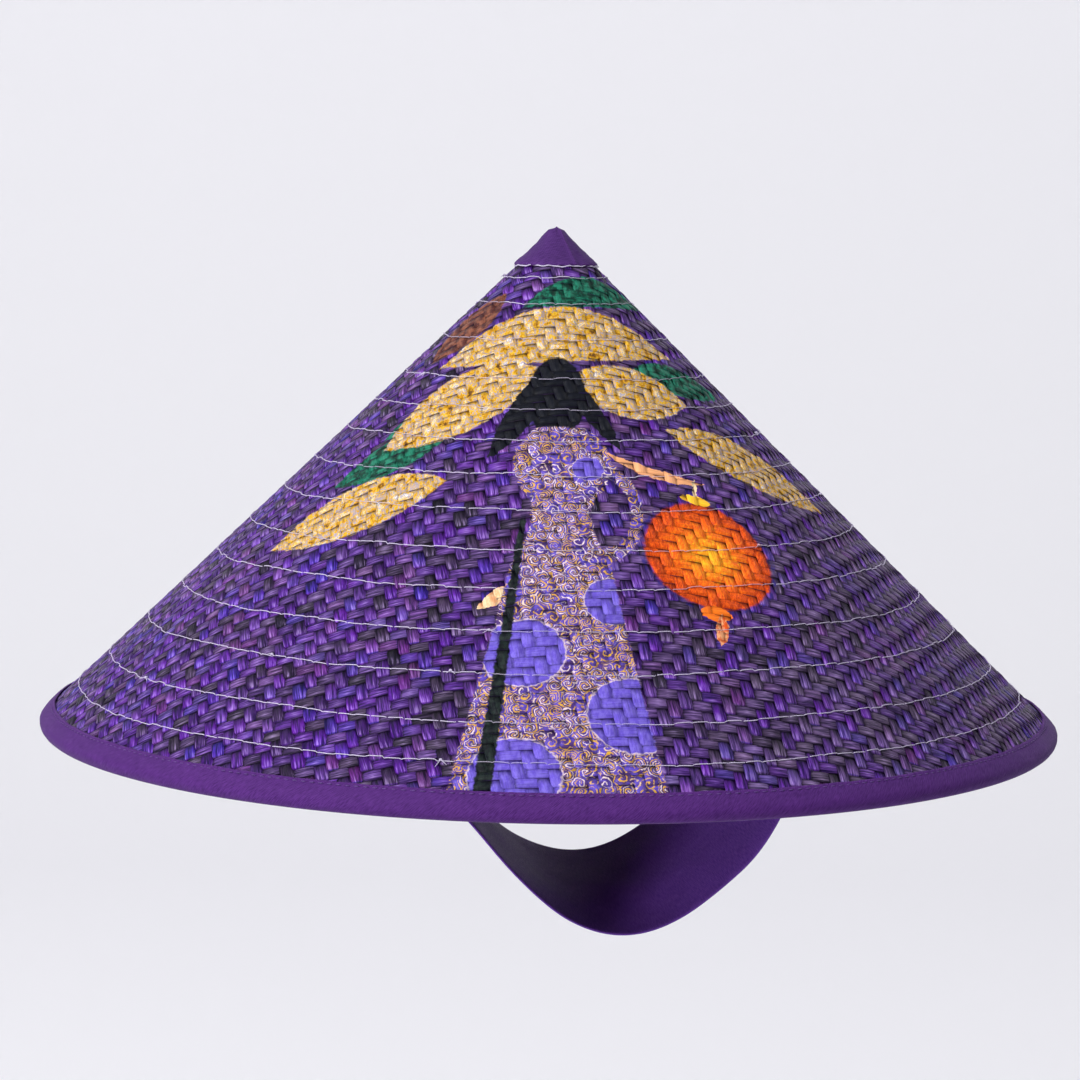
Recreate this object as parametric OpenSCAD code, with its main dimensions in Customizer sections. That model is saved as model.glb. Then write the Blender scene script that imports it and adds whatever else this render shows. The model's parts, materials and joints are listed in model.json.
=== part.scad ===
// Conical hat: a woven cone sewn over bamboo hoops, with a bound rim and a cloth chin strap.
// The origin is the centre of the hoop that the wearer's head bears on. +Z is up, -Y is the front.

/* [Hat] */
// Diameter of the cone's outer face at the level of the rim, which the binding ends about 1 mm inside
hat_d = 402; // [380:1:420]
// Height of the cone's sharp tip over the level of the rim
hat_h = 194.5; // [185:0.5:205]
// Thickness of the woven mat
mat_t = 1.6; // [1.2:0.1:2.0]

/* [Hoops] */
// Diameter of a hoop's section
hoop_wire_d = 2.4; // [2.0:0.1:2.8]
// Radius of the smallest sewing line, where the first hoop sits
first_ring_r = 18.9; // [18.8:0.1:19.2]
// Mean step in radius from one sewing line to the next
ring_step = 12.7; // [12.5:0.1:12.8]
// Diameter of the white sewing thread
thread_d = 0.6; // [0.5:0.1:0.9]
// Number of the hoop that the head bears on
seat_hoop = 7; // [6:1:8]

/* [Rim] */
// Slant width of the cloth binding on the outside
binding_w = 9.5; // [9:0.5:13]
// Thickness of the folded binding cloth
binding_t = 0.8; // [0.6:0.1:1.0]
// Diameter of the bamboo rim hoop inside the binding
rim_hoop_d = 3.4; // [3.0:0.1:3.8]

/* [Tip] */
// Radius of the cloth tip cap at its edge
cap_r = 15.7; // [14:0.1:17]
// Thickness of the tip cap cloth
cap_t = 0.8; // [0.6:0.1:1.0]

/* [Chin strap] */
// Width of the flat part of the strap
strap_w = 74; // [60:1:80]
// Thickness of the doubled strap cloth
strap_t = 1.6; // [1.2:0.1:2.0]
// Turn of the strap's span away from the hat's width, in degrees
strap_yaw = 17; // [0:1:20]
// Rise of the strap's rear edge over its front edge
strap_tilt = 18; // [0:1:20]
// Number of the hoop that the strap is tied to
strap_hoop = 9; // [9]
// Diameter of the thread ring that holds a strap end
tie_ring_d = 8; // [7:0.5:9]
// Thickness of the cord that a thread ring is made of
tie_cord_d = 1.1; // [0.9:0.1:1.3]

/* [Hidden] */
$fn = 144;
wire_fn = 24;
gap = 0.03;
slope = atan2(hat_h, hat_d / 2);
slant = norm([hat_d / 2, hat_h]);

// The hoops are set by hand, so each sits a little off an even step.
ring_shift = [1.5, -1, 0, 2, 0.5, -1, -1.5, -2, -1.5, -1.5, -0.5, 0, 2, 1.5];
hoop_count = len(ring_shift);

// A place on the cone's section: s runs down the outer face from the tip, n stands out of that face.
function on_cone(s, n) = [s * cos(slope) + n * sin(slope), hat_h - s * sin(slope) + n * cos(slope)];
function ring_r(i) = first_ring_r + ring_step * (i - 1) + ring_shift[i - 1];
function ring_s(i) = ring_r(i) / cos(slope);
function hoop_at(i) = on_cone(ring_s(i), -mat_t - hoop_wire_d / 2 - gap);
function two_digits(i) = i < 10 ? str("0", i) : str(i);

seat_z = hoop_at(seat_hoop)[1];

// Mat and cap
tip_round = 2.4;
mat_tip_s = 1.8;
cap_edge_s = cap_r / cos(slope);

// Rim section
rim_hoop_n = -mat_t - rim_hoop_d / 2 - gap;
rim_play = 0.1;
rim_depth = mat_t + rim_hoop_d + gap + 2 * rim_play;
rim_mid_n = rim_play - rim_depth / 2;
rim_out_r = rim_depth / 2 + binding_t;
rim_round_s = slant - rim_out_r;
mat_end_s = rim_round_s - rim_play;
binding_out_n = rim_mid_n + rim_out_r;
binding_top_s = slant - binding_w;
binding_in_s = rim_round_s - 4.4;
stitch_s = binding_top_s + 1.3;
stitch_d = 0.6;

// Back seam stitches: two between each pair of sewing lines, at these shares of the step
seam_shares = [0.3, 0.7];
seam_stitch = 5;
seam_d = 0.6;

// Strap: its middle line is chosen by hand, as [distance along the span, height over the rim].
tie_at = [hoop_at(strap_hoop)[0], hoop_at(strap_hoop)[1] - 6.6];
left_line = [[-113.5, 66.5], [-111, 61], [-104, 47], [-90, 26], [-68, 2], [-43, -23], [-23, -48], [-1, -68]];
right_line = [[46, -69], [72, -49], [87, -25], [96, 0], [102, 24], [108, 46], [111, 60], [113.5, 66.5]];
strap_line = concat(
    [[-tie_at[0] - 2.5, tie_at[1]], [-tie_at[0] + 1.6, tie_at[1] - 0.2]],
    left_line,
    [[22, -75]],
    right_line,
    [[tie_at[0] - 1.6, tie_at[1] - 0.2], [tie_at[0] + 2.5, tie_at[1]]]
);
strap_steps = 3;
neck_w = 3.4;
neck_t = 3.4;
flare_from = 9;
flare_to = 46;

// Arc points round a centre on the cone's section, from angle a0 to a1, where 0 is along s and 90 is along n.
function arc_on_cone(s, n, r, a0, a1, steps = 10) =
    [for (k = [0 : steps]) let (a = a0 + (a1 - a0) * k / steps) on_cone(s + r * cos(a), n + r * sin(a))];

// Puts a shape drawn over the rim's lowest line into the hat's frame.
module from_rim() {
    translate([0, 0, -seat_z]) children();
}

// A closed ring of round section at a given place of the cone's section.
module round_ring(place, d) {
    from_rim()
        rotate_extrude()
            translate(place)
                circle(d = d, $fn = wire_fn);
}

module woven_shell() {
    color("#6f5a86")
        from_rim()
            rotate_extrude()
                polygon([
                    [0, on_cone(mat_tip_s, 0)[1] + 0.2],
                    on_cone(mat_tip_s, 0),
                    on_cone(mat_end_s, 0),
                    on_cone(mat_end_s, -mat_t),
                    on_cone(mat_tip_s + 3, -mat_t),
                    [0, on_cone(mat_tip_s + 3, -mat_t)[1] + 0.6]
                ]);
}

// Short stitches that close the wrapped mat down the back.
module seam_thread() {
    color("#d9d2dc")
        from_rim()
            for (i = [1 : hoop_count - 1])
                for (share = seam_shares) {
                    s = ring_s(i) * (1 - share) + ring_s(i + 1) * share;
                    place = on_cone(s, seam_d / 2 + gap);
                    translate([0, place[0], place[1]])
                        rotate([-90 - slope, 0, 0])
                            translate([0, 0, -seam_stitch / 2])
                                cylinder(d = seam_d, h = seam_stitch, $fn = wire_fn);
                }
}

module tip_cap() {
    peak_n = cap_t + gap;
    color("#4b2a7c")
        from_rim()
            rotate_extrude()
                polygon([
                    [0, hat_h],
                    [tip_round * 0.5, hat_h - 0.5],
                    on_cone(tip_round + 1.2, peak_n),
                    on_cone(cap_edge_s - 0.4, peak_n),
                    on_cone(cap_edge_s, peak_n - 0.3),
                    on_cone(cap_edge_s, gap),
                    on_cone(mat_tip_s, gap),
                    [0, on_cone(mat_tip_s, gap)[1] + 0.25]
                ]);
}

module tip_cap_thread() {
    color("#d9d2dc")
        round_ring(on_cone(cap_edge_s + thread_d / 2 + gap, thread_d / 2 + gap), thread_d);
}

module hoop(i) {
    color("#b99a63")
        round_ring(hoop_at(i), hoop_wire_d);
}

module thread_ring(i) {
    color("#e6e1e8")
        round_ring(on_cone(ring_s(i), thread_d / 2 + gap), thread_d);
}

module rim_hoop() {
    color("#b99a63")
        round_ring(on_cone(rim_round_s, rim_hoop_n), rim_hoop_d);
}

// The binding tape folds round the mat's edge and the rim hoop.
module rim_binding() {
    inner_n = rim_mid_n - rim_out_r;
    color("#55267f")
        from_rim()
            rotate_extrude()
                polygon(concat(
                    [on_cone(binding_top_s, rim_play), on_cone(binding_top_s, binding_out_n)],
                    arc_on_cone(rim_round_s, rim_mid_n, rim_out_r, 90, -90),
                    [
                        on_cone(binding_in_s + 2, inner_n),
                        on_cone(binding_in_s, -mat_t - gap - binding_t),
                        on_cone(binding_top_s, -mat_t - gap - binding_t),
                        on_cone(binding_top_s, -mat_t - gap),
                        on_cone(binding_in_s + 0.5, -mat_t - gap),
                        on_cone(binding_in_s + 2.4, inner_n + binding_t)
                    ],
                    arc_on_cone(rim_round_s, rim_mid_n, rim_depth / 2, -90, 90)
                ));
}

module binding_thread() {
    color("#6b3a9c")
        round_ring(on_cone(stitch_s, binding_out_n + stitch_d / 2 + gap), stitch_d);
}

// A thread wrapped round the strap's hoop, with a flat-wound ring under it that the strap end turns in.
module strap_loop() {
    hoop_place = hoop_at(strap_hoop);
    color("#3a2458")
        from_rim()
            union() {
                translate([hoop_place[0], 0, hoop_place[1]])
                    rotate([90, 0, 0])
                        rotate_extrude($fn = 48)
                            translate([hoop_wire_d / 2 + tie_cord_d / 2 + gap, 0])
                                circle(d = tie_cord_d, $fn = wire_fn);
                translate([tie_at[0], 0, tie_at[1]])
                    rotate([0, 90, 0])
                        rotate_extrude($fn = 48)
                            translate([tie_ring_d / 2, 0])
                                square(tie_cord_d, center = true);
            }
}

module strap_loop_left() {
    rotate([0, 0, strap_yaw])
        mirror([1, 0, 0])
            strap_loop();
}

module strap_loop_right() {
    rotate([0, 0, strap_yaw])
        strap_loop();
}

// Smooth curve through the strap's points.
function spline(p, i, u) =
    let (
        a = p[max(i - 1, 0)],
        b = p[i],
        c = p[i + 1],
        d = p[min(i + 2, len(p) - 1)]
    )
    0.5 * (2 * b + (c - a) * u + (2 * a - 5 * b + 4 * c - d) * u * u + (3 * b - a - 3 * c + d) * u * u * u);
function spline_points(p, steps) = concat(
    [for (i = [0 : len(p) - 2]) for (k = [0 : steps - 1]) spline(p, i, k / steps)],
    [p[len(p) - 1]]
);
function ease(u) = let (v = min(max(u, 0), 1)) v * v * (3 - 2 * v);
function run_to(p, i) = i == 0 ? 0 : run_to(p, i - 1) + norm(p[i] - p[i - 1]);

// One four-cornered ring of the strap, which is gathered narrow and thick where it goes through a tie.
function strap_ring(p, i) =
    let (
        last = len(p) - 1,
        from_end = min(run_to(p, i), run_to(p, last) - run_to(p, i)),
        open = ease((from_end - flare_from) / flare_to),
        w = neck_w + (strap_w - neck_w) * open,
        t = neck_t + (strap_t - neck_t) * open,
        rise = strap_tilt * open / 2,
        way = p[min(i + 1, last)] - p[max(i - 1, 0)],
        side = [-way[1], way[0]] / norm(way) * t / 2
    )
    [
        [p[i][0] - side[0], -w / 2, p[i][1] - side[1] - rise],
        [p[i][0] + side[0], -w / 2, p[i][1] + side[1] - rise],
        [p[i][0] + side[0], w / 2, p[i][1] + side[1] + rise],
        [p[i][0] - side[0], w / 2, p[i][1] - side[1] + rise]
    ];

module strap_band() {
    p = spline_points(strap_line, strap_steps);
    last = len(p) - 1;
    polyhedron(
        points = [for (i = [0 : last]) each strap_ring(p, i)],
        faces = concat(
            [[0, 1, 2, 3]],
            [
                for (i = [0 : last - 1]) for (k = [0 : 3])
                    each [
                        [4 * i + k, 4 * i + 4 + k, 4 * i + (k + 1) % 4],
                        [4 * i + 4 + k, 4 * i + 4 + (k + 1) % 4, 4 * i + (k + 1) % 4]
                    ]
            ],
            [[4 * last + 3, 4 * last + 2, 4 * last + 1, 4 * last]]
        )
    );
}

module chin_strap() {
    color("#3f2a66")
        from_rim()
            rotate([0, 0, strap_yaw])
                strap_band();
}

woven_shell();
seam_thread();
tip_cap();
tip_cap_thread();
for (i = [1 : hoop_count]) {
    hoop(i);
    thread_ring(i);
}
rim_hoop();
rim_binding();
binding_thread();
strap_loop_left();
strap_loop_right();
chin_strap();
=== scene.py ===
"""A woven conical hat: its mat strip by strip, its sewing threads, bound rim, tip cap, hoops and chin strap.

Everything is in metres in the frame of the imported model: the origin is the centre of the hoop that the head
bears on, +Z is up and the painted front faces -Y. "Flat" coordinates are millimetres on the mat before it was
wrapped into a cone: x to the right as seen from the front, y down the middle of the front from the tip.
"""

import json
import logging
import math
import random
from collections.abc import Callable, Iterable, Sequence
from dataclasses import dataclass, field
from enum import Enum

import bmesh
import bpy
import numpy as np
from mathutils import Matrix, Vector, noise


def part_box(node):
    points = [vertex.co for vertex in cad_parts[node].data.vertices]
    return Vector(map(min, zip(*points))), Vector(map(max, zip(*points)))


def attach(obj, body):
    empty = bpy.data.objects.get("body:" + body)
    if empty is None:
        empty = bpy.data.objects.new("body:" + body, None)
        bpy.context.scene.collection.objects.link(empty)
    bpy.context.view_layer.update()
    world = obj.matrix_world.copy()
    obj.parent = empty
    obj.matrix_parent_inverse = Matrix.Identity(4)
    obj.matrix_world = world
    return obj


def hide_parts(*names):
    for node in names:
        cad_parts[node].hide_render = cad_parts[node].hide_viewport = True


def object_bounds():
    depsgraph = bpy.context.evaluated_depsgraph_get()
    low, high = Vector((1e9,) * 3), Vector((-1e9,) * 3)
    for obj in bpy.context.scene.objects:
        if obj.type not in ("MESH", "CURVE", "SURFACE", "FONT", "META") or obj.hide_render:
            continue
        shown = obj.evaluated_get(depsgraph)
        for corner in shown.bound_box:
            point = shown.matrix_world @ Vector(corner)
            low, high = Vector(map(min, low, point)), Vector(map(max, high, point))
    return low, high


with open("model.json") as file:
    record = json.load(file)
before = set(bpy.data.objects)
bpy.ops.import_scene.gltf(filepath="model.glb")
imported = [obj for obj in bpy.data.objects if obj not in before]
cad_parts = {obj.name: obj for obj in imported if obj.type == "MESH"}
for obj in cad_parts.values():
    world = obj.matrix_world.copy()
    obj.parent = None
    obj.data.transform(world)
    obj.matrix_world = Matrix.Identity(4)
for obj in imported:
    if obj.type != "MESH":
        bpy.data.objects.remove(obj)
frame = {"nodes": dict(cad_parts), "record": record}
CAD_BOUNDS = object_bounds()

log = logging.getLogger("hat")

MM = 0.001
HAT_BODY = "hat"
STRAP_BODY = "strap"
HOOP_NODES = sorted(name for name in frame["nodes"] if name.startswith("hoop_"))
RING_NODES = sorted(name for name in frame["nodes"] if name.startswith("thread_ring_"))

Colour = tuple[float, float, float]
Socket = bpy.types.NodeSocket
Number = np.ndarray | float


# ---------------------------------------------------------------- the cone


@dataclass(frozen=True)
class Cone:
    """The mat's outer face: a cone on the Z axis.

    Attributes:
        tip: Height of the sharp tip.
        slope: Angle of the face under the horizontal, in radians.
    """

    tip: float
    slope: float

    @classmethod
    def from_rings(cls, first: str, last: str, gap: float = 0.03 * MM) -> "Cone":
        """Works the cone out from two sewing threads that lie on it.

        Args:
            first: Node of the smallest thread ring.
            last: Node of the largest thread ring.
            gap: Play between a thread and the mat's face.

        Returns:
            The cone that both rings lie on.
        """
        places = []
        for name in (first, last):
            low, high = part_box(name)
            thick = (high[2] - low[2]) / 2
            places.append(((high[0] - low[0]) / 2 - thick, (high[2] + low[2]) / 2, thick))
        (r_0, z_0, thick), (r_1, z_1, _) = places
        slope = math.atan2(z_0 - z_1, r_1 - r_0)
        tip = z_0 + r_0 * math.tan(slope) - (thick + gap) / math.cos(slope)
        return cls(tip, slope)

    def at(self, s: Number, n: Number, turn: Number) -> np.ndarray:
        """Places points that are given on the cone.

        Args:
            s: Distance down the face from the tip.
            n: Distance out of the face.
            turn: Angle round the axis from the front, positive towards +X.

        Returns:
            The points, one row each.
        """
        r = s * math.cos(self.slope) + n * math.sin(self.slope)
        z = self.tip - s * math.sin(self.slope) + n * math.cos(self.slope)
        return np.stack([r * np.sin(turn), -r * np.cos(turn), z * np.ones_like(r)], axis=-1)

    def section(self, s: float, n: float) -> tuple[float, float]:
        """Gives the radius and height of a point of a section through the cone."""
        _, y, z = self.at(s, n, 0.0)
        return -float(y), float(z)

    def tube(self, s: float, n: float, radius: float, sides: int) -> list[tuple[float, float]]:
        """Gives the section of a thread that runs round the cone.

        Args:
            s: Distance of its middle down the face.
            n: Distance of its middle out of the face.
            radius: Its radius.
            sides: Number of its points.

        Returns:
            Radius and height of each point.
        """
        turns = [math.tau * k / sides for k in range(sides)]
        return [self.section(s + radius * math.cos(a), n + radius * math.sin(a)) for a in turns]

    def wrap(self, x: np.ndarray, y: np.ndarray) -> tuple[np.ndarray, np.ndarray]:
        """Turns flat places in metres into distances down the face and flat angles from the front."""
        return np.hypot(x, y), np.arctan2(x, y)

    def turn_of(self, flat_angle: Number) -> Number:
        """Gives the turn round the axis of an angle on the flat mat."""
        return flat_angle / math.cos(self.slope)

    def read(self, points: np.ndarray) -> tuple[np.ndarray, np.ndarray, np.ndarray]:
        """Gives s, n and turn of points in space.

        Args:
            points: The points, one row each.

        Returns:
            Distance down the face, distance out of it and turn, one of each for each point.
        """
        r = np.hypot(points[:, 0], points[:, 1])
        drop = self.tip - points[:, 2]
        s = r * math.cos(self.slope) + drop * math.sin(self.slope)
        n = r * math.sin(self.slope) - drop * math.cos(self.slope)
        return s, n, np.arctan2(points[:, 0], -points[:, 1])

    def flat_mm(self, points: np.ndarray) -> np.ndarray:
        """Gives the flat places, in millimetres, of points near the face.

        Args:
            points: The points, one row each.

        Returns:
            x and y on the flat mat, one row for each point.
        """
        s, _, turn = self.read(points)
        angle = turn * math.cos(self.slope)
        return np.stack([s * np.sin(angle), s * np.cos(angle)], axis=-1) / MM


CONE = Cone.from_rings(RING_NODES[0], RING_NODES[-1])


def ring_place(node: str) -> tuple[float, float, float]:
    """Reads where a ring that is round in section lies on the cone.

    Args:
        node: The ring's node.

    Returns:
        Distances of its middle line down the face and out of it, and the radius of its section.
    """
    low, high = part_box(node)
    thick = (high[2] - low[2]) / 2
    s, n, _ = CONE.read(np.array([[0.0, thick - (high[0] - low[0]) / 2, (high[2] + low[2]) / 2]]))
    return float(s[0]), float(n[0]), thick


def edge_distance(node: str) -> float:
    """Gives the distance down the face of a node's lower front edge."""
    low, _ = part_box(node)
    return float(CONE.read(np.array([[0.0, low[1], low[2]]]))[0][0])


# ---------------------------------------------------------------- meshes


def ease(value: float, low: float = 0.0, high: float = 1.0) -> float:
    """Rises smoothly from 0 at low to 1 at high."""
    v = min(max((value - low) / (high - low), 0.0), 1.0)
    return v * v * (3 - 2 * v)


def bell(distance: Number, reach: float) -> Number:
    """Falls smoothly from 1 where the distance is 0 to almost 0 past twice the reach."""
    return np.exp(-((distance / reach) ** 2))


def wobble(places: Iterable[tuple[float, float, float]]) -> np.ndarray:
    """Gives smooth noise, about -1 to 1, at each place."""
    return np.array([noise.noise(Vector(place)) for place in places])


def piece_from(
    bm: bmesh.types.BMesh, name: str, materials: Sequence[bpy.types.Material]
) -> bpy.types.Object:
    """Makes a smooth-shaded object of a bmesh and frees the bmesh.

    Args:
        bm: The mesh under construction.
        name: The piece's name.
        materials: The materials of its slots.

    Returns:
        The new object, linked into the scene.
    """
    mesh = bpy.data.meshes.new(name)
    bm.to_mesh(mesh)
    bm.free()
    mesh.polygons.foreach_set("use_smooth", [True] * len(mesh.polygons))
    for material in materials:
        mesh.materials.append(material)
    obj = bpy.data.objects.new(name, mesh)
    bpy.context.scene.collection.objects.link(obj)
    return obj


def coordinates(mesh: bpy.types.Mesh) -> np.ndarray:
    """Reads a mesh's points, one row each.

    Args:
        mesh: The mesh.

    Returns:
        The points in metres.
    """
    flat = np.empty(len(mesh.vertices) * 3)
    mesh.vertices.foreach_get("co", flat)
    return flat.reshape(-1, 3)


def move_points(mesh: bpy.types.Mesh, points: np.ndarray) -> None:
    """Writes a mesh's points."""
    mesh.vertices.foreach_set("co", np.asarray(points, dtype=float).ravel())
    mesh.update()


def write_uv(mesh: bpy.types.Mesh, name: str, values: np.ndarray) -> None:
    """Adds a UV map whose value at each corner is its point's.

    Args:
        mesh: The mesh.
        name: The UV map's name.
        values: Two numbers for each point.
    """
    layer = mesh.uv_layers.new(name=name)
    corners = np.empty(len(mesh.loops), dtype=int)
    mesh.loops.foreach_get("vertex_index", corners)
    layer.data.foreach_set("uv", np.asarray(values, dtype=float)[corners].ravel())


def write_value(mesh: bpy.types.Mesh, name: str, values: np.ndarray) -> None:
    """Adds an attribute with one number for each point."""
    mesh.attributes.new(name, "FLOAT", "POINT").data.foreach_set("value", np.asarray(values, dtype=float))


def point_outwards(mesh: bpy.types.Mesh, away_from: Vector) -> None:
    """Turns an open sheet's faces over if most of them look towards a point.

    Args:
        mesh: The sheet.
        away_from: The point that the faces look away from.
    """
    count = len(mesh.polygons)
    centre, normal, area = np.empty(3 * count), np.empty(3 * count), np.empty(count)
    mesh.polygons.foreach_get("center", centre)
    mesh.polygons.foreach_get("normal", normal)
    mesh.polygons.foreach_get("area", area)
    towards = ((centre.reshape(-1, 3) - np.array(away_from)) * normal.reshape(-1, 3)).sum(axis=1)
    if (towards * area).sum() < 0:
        mesh.flip_normals()


def place_part(
    bm: bmesh.types.BMesh, verts: Sequence[bmesh.types.BMVert], turned: Matrix, place: Vector
) -> None:
    """Turns a small part about the origin and moves it to its place.

    Args:
        bm: The mesh that holds the part.
        verts: The part's points.
        turned: Its rotation.
        place: Where its origin goes.
    """
    bmesh.ops.rotate(bm, verts=verts, cent=(0, 0, 0), matrix=turned)
    bmesh.ops.translate(bm, verts=verts, vec=place)


def write_thread_maps(mesh: bpy.types.Mesh, wound: np.ndarray) -> None:
    """Adds the two UV maps that painted sewing thread reads.

    Args:
        mesh: The thread's mesh.
        wound: Place round the thread and along it, for each point.
    """
    write_uv(mesh, "flat", CONE.flat_mm(coordinates(mesh)))
    write_uv(mesh, "thread", wound)


def spin_profile(
    bm: bmesh.types.BMesh, profile: Sequence[tuple[float, float]], steps: int, closed: bool
) -> None:
    """Spins an outline in the front half-plane once round the Z axis.

    Args:
        bm: Receives the faces.
        profile: Radius and height of each point.
        steps: Number of steps of the full turn.
        closed: Whether the outline's last point joins its first.
    """
    verts = [bm.verts.new((0.0, -r, z)) for r, z in profile]
    pairs = list(zip(verts, verts[1:]))
    if closed:
        pairs.append((verts[-1], verts[0]))
    edges = [bm.edges.new(pair) for pair in pairs]
    bmesh.ops.spin(
        bm,
        geom=verts + edges,
        cent=(0, 0, 0),
        axis=(0, 0, 1),
        dvec=(0, 0, 0),
        angle=2 * math.pi,
        steps=steps,
        use_merge=True,
    )
    bmesh.ops.recalc_face_normals(bm, faces=bm.faces)


def add_modifier(obj: bpy.types.Object, kind: str, **settings: object) -> None:
    """Adds a modifier and sets its values.

    Args:
        obj: The piece.
        kind: The modifier's type.
        **settings: Its values by name.
    """
    modifier = obj.modifiers.new(kind.lower(), kind)
    for key, value in settings.items():
        setattr(modifier, key, value)


# ---------------------------------------------------------------- node helpers


class Graph:
    """Adds and links the nodes of one tree."""

    def __init__(self, tree: bpy.types.NodeTree) -> None:
        """Keeps the tree that nodes go into."""
        self.tree = tree

    def add(
        self, kind: str, inputs: dict[str | int, object] | None = None, **settings: object
    ) -> bpy.types.Node:
        """Adds a node.

        Args:
            kind: The node's type without its ShaderNode prefix.
            inputs: Values or sockets by input name or number.
            **settings: The node's own properties.

        Returns:
            The node.
        """
        node = self.tree.nodes.new("ShaderNode" + kind)
        for key, value in settings.items():
            setattr(node, key, value)
        for key, value in (inputs or {}).items():
            self.feed(node.inputs[key], value)
        return node

    def feed(self, socket: Socket, value: object) -> None:
        """Links a socket into an input, or sets the input's value.

        Args:
            socket: The input.
            value: A socket, or a value of the input's kind.
        """
        if isinstance(value, Socket):
            self.tree.links.new(value, socket)
        elif isinstance(value, tuple) and len(value) == 3 and socket.type == "RGBA":
            socket.default_value = (*value, 1.0)
        else:
            socket.default_value = value

    def math(self, operation: str, *values: object) -> Socket:
        """Adds a Math node on up to three values and gives its result."""
        return self.add("Math", dict(enumerate(values)), operation=operation).outputs[0]

    def mul(self, first: object, second: object) -> Socket:
        """Multiplies two values."""
        return self.math("MULTIPLY", first, second)

    def plus(self, first: object, second: object) -> Socket:
        """Adds two values."""
        return self.math("ADD", first, second)

    def minus(self, first: object, second: object) -> Socket:
        """Takes the second value from the first."""
        return self.math("SUBTRACT", first, second)

    def over(self, first: object, second: object) -> Socket:
        """Divides the first value by the second."""
        return self.math("DIVIDE", first, second)

    def absolute(self, value: object) -> Socket:
        """Gives a value without its sign."""
        return self.math("ABSOLUTE", value)

    def tint(self, first: object, second: object) -> Socket:
        """Multiplies two colours."""
        return self.mix(1.0, first, second, "MULTIPLY")

    def grey(self, value: object) -> Socket:
        """Makes a grey of one value."""
        return self.combine(value, value, value)

    def vector(self, operation: str, *values: object) -> Socket:
        """Adds a Vector Math node and gives its vector."""
        return self.add("VectorMath", dict(enumerate(values)), operation=operation).outputs[0]

    def combine(self, x: object, y: object, z: object = 0.0) -> Socket:
        """Makes a vector of three values."""
        return self.add("CombineXYZ", {0: x, 1: y, 2: z}).outputs[0]

    def split(self, vector: Socket) -> tuple[Socket, Socket, Socket]:
        """Gives a vector's three values."""
        node = self.add("SeparateXYZ", {0: vector})
        return node.outputs[0], node.outputs[1], node.outputs[2]

    def step(
        self, value: object, low: float, high: float, to_low: float = 0.0, to_high: float = 1.0
    ) -> Socket:
        """Maps low to high smoothly onto to_low to to_high."""
        inputs = {"Value": value, "From Min": low, "From Max": high, "To Min": to_low, "To Max": to_high}
        return self.add("MapRange", inputs, interpolation_type="SMOOTHSTEP").outputs[0]

    def mix(self, share: object, first: object, second: object, blend: str = "MIX") -> Socket:
        """Mixes two colours.

        Args:
            share: Share of the second colour.
            first: The first colour.
            second: The second colour.
            blend: How they are mixed.

        Returns:
            The mixed colour.
        """
        node = self.add("Mix", data_type="RGBA", blend_type=blend)
        self.feed(node.inputs["Factor"], share)
        self.feed(node.inputs[6], first)
        self.feed(node.inputs[7], second)
        return node.outputs[2]

    def ramp(self, value: Socket, stops: Sequence[tuple[float, Colour]]) -> Socket:
        """Turns a value into a colour along a ramp.

        Args:
            value: Place on the ramp, 0 to 1.
            stops: Place and colour of each stop.

        Returns:
            The colour.
        """
        node = self.add("ValToRGB", {"Fac": value})
        elements = node.color_ramp.elements
        while len(elements) < len(stops):
            elements.new(0.5)
        for element, (place, colour) in zip(elements, stops):
            element.position = place
            element.color = (*colour, 1.0)
        return node.outputs["Color"]

    def noise(self, place: Socket, scale: float, detail: float = 2.0, rough: float = 0.5) -> Socket:
        """Adds a Noise texture and gives its value."""
        inputs = {"Vector": place, "Scale": scale, "Detail": detail, "Roughness": rough}
        return self.add("TexNoise", inputs).outputs["Fac"]

    def uv(self, name: str) -> Socket:
        """Reads one of the piece's own UV maps."""
        return self.add("UVMap", uv_map=name).outputs["UV"]

    def value_of(self, name: str) -> Socket:
        """Reads one of the piece's own attributes."""
        return self.add("Attribute", attribute_name=name).outputs["Fac"]

    def place(self) -> Socket:
        """Reads the piece's Object coordinates."""
        return self.add("TexCoord").outputs["Object"]

    def use(self, tree: bpy.types.NodeTree, **inputs: object) -> bpy.types.Node:
        """Places a group; underscores in the input names stand for spaces.

        Args:
            tree: The group.
            **inputs: Values or sockets of its inputs.

        Returns:
            The group's node.
        """
        node = self.add("Group", node_tree=tree)
        for key, value in inputs.items():
            self.feed(node.inputs[key.replace("_", " ")], value)
        return node


SocketList = Iterable[tuple[str, str, object]]


def make_group(
    name: str, inputs: SocketList, outputs: Sequence[tuple[str, str]], build: Callable[
        [Graph, dict[str, Socket]], dict[str, Socket]
    ]
) -> bpy.types.NodeTree:
    """Makes a shader node group.

    Args:
        name: The group's name.
        inputs: Name, kind (Float, Vector or Color) and default of each input.
        outputs: Name and kind of each output.
        build: Takes the graph and the input sockets by name, and gives the output sockets by name.

    Returns:
        The group.
    """
    tree = bpy.data.node_groups.new(name, "ShaderNodeTree")
    for label, kind, default in inputs:
        socket = tree.interface.new_socket(label, in_out="INPUT", socket_type="NodeSocket" + kind)
        if default is not None:
            socket.default_value = default
    for label, kind in outputs:
        tree.interface.new_socket(label, in_out="OUTPUT", socket_type="NodeSocket" + kind)
    graph = Graph(tree)
    start = tree.nodes.new("NodeGroupInput")
    end = tree.nodes.new("NodeGroupOutput")
    results = build(graph, {label: start.outputs[label] for label, _, _ in inputs})
    for label, socket in results.items():
        tree.links.new(socket, end.inputs[label])
    return tree


# ---------------------------------------------------------------- shared effects


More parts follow.
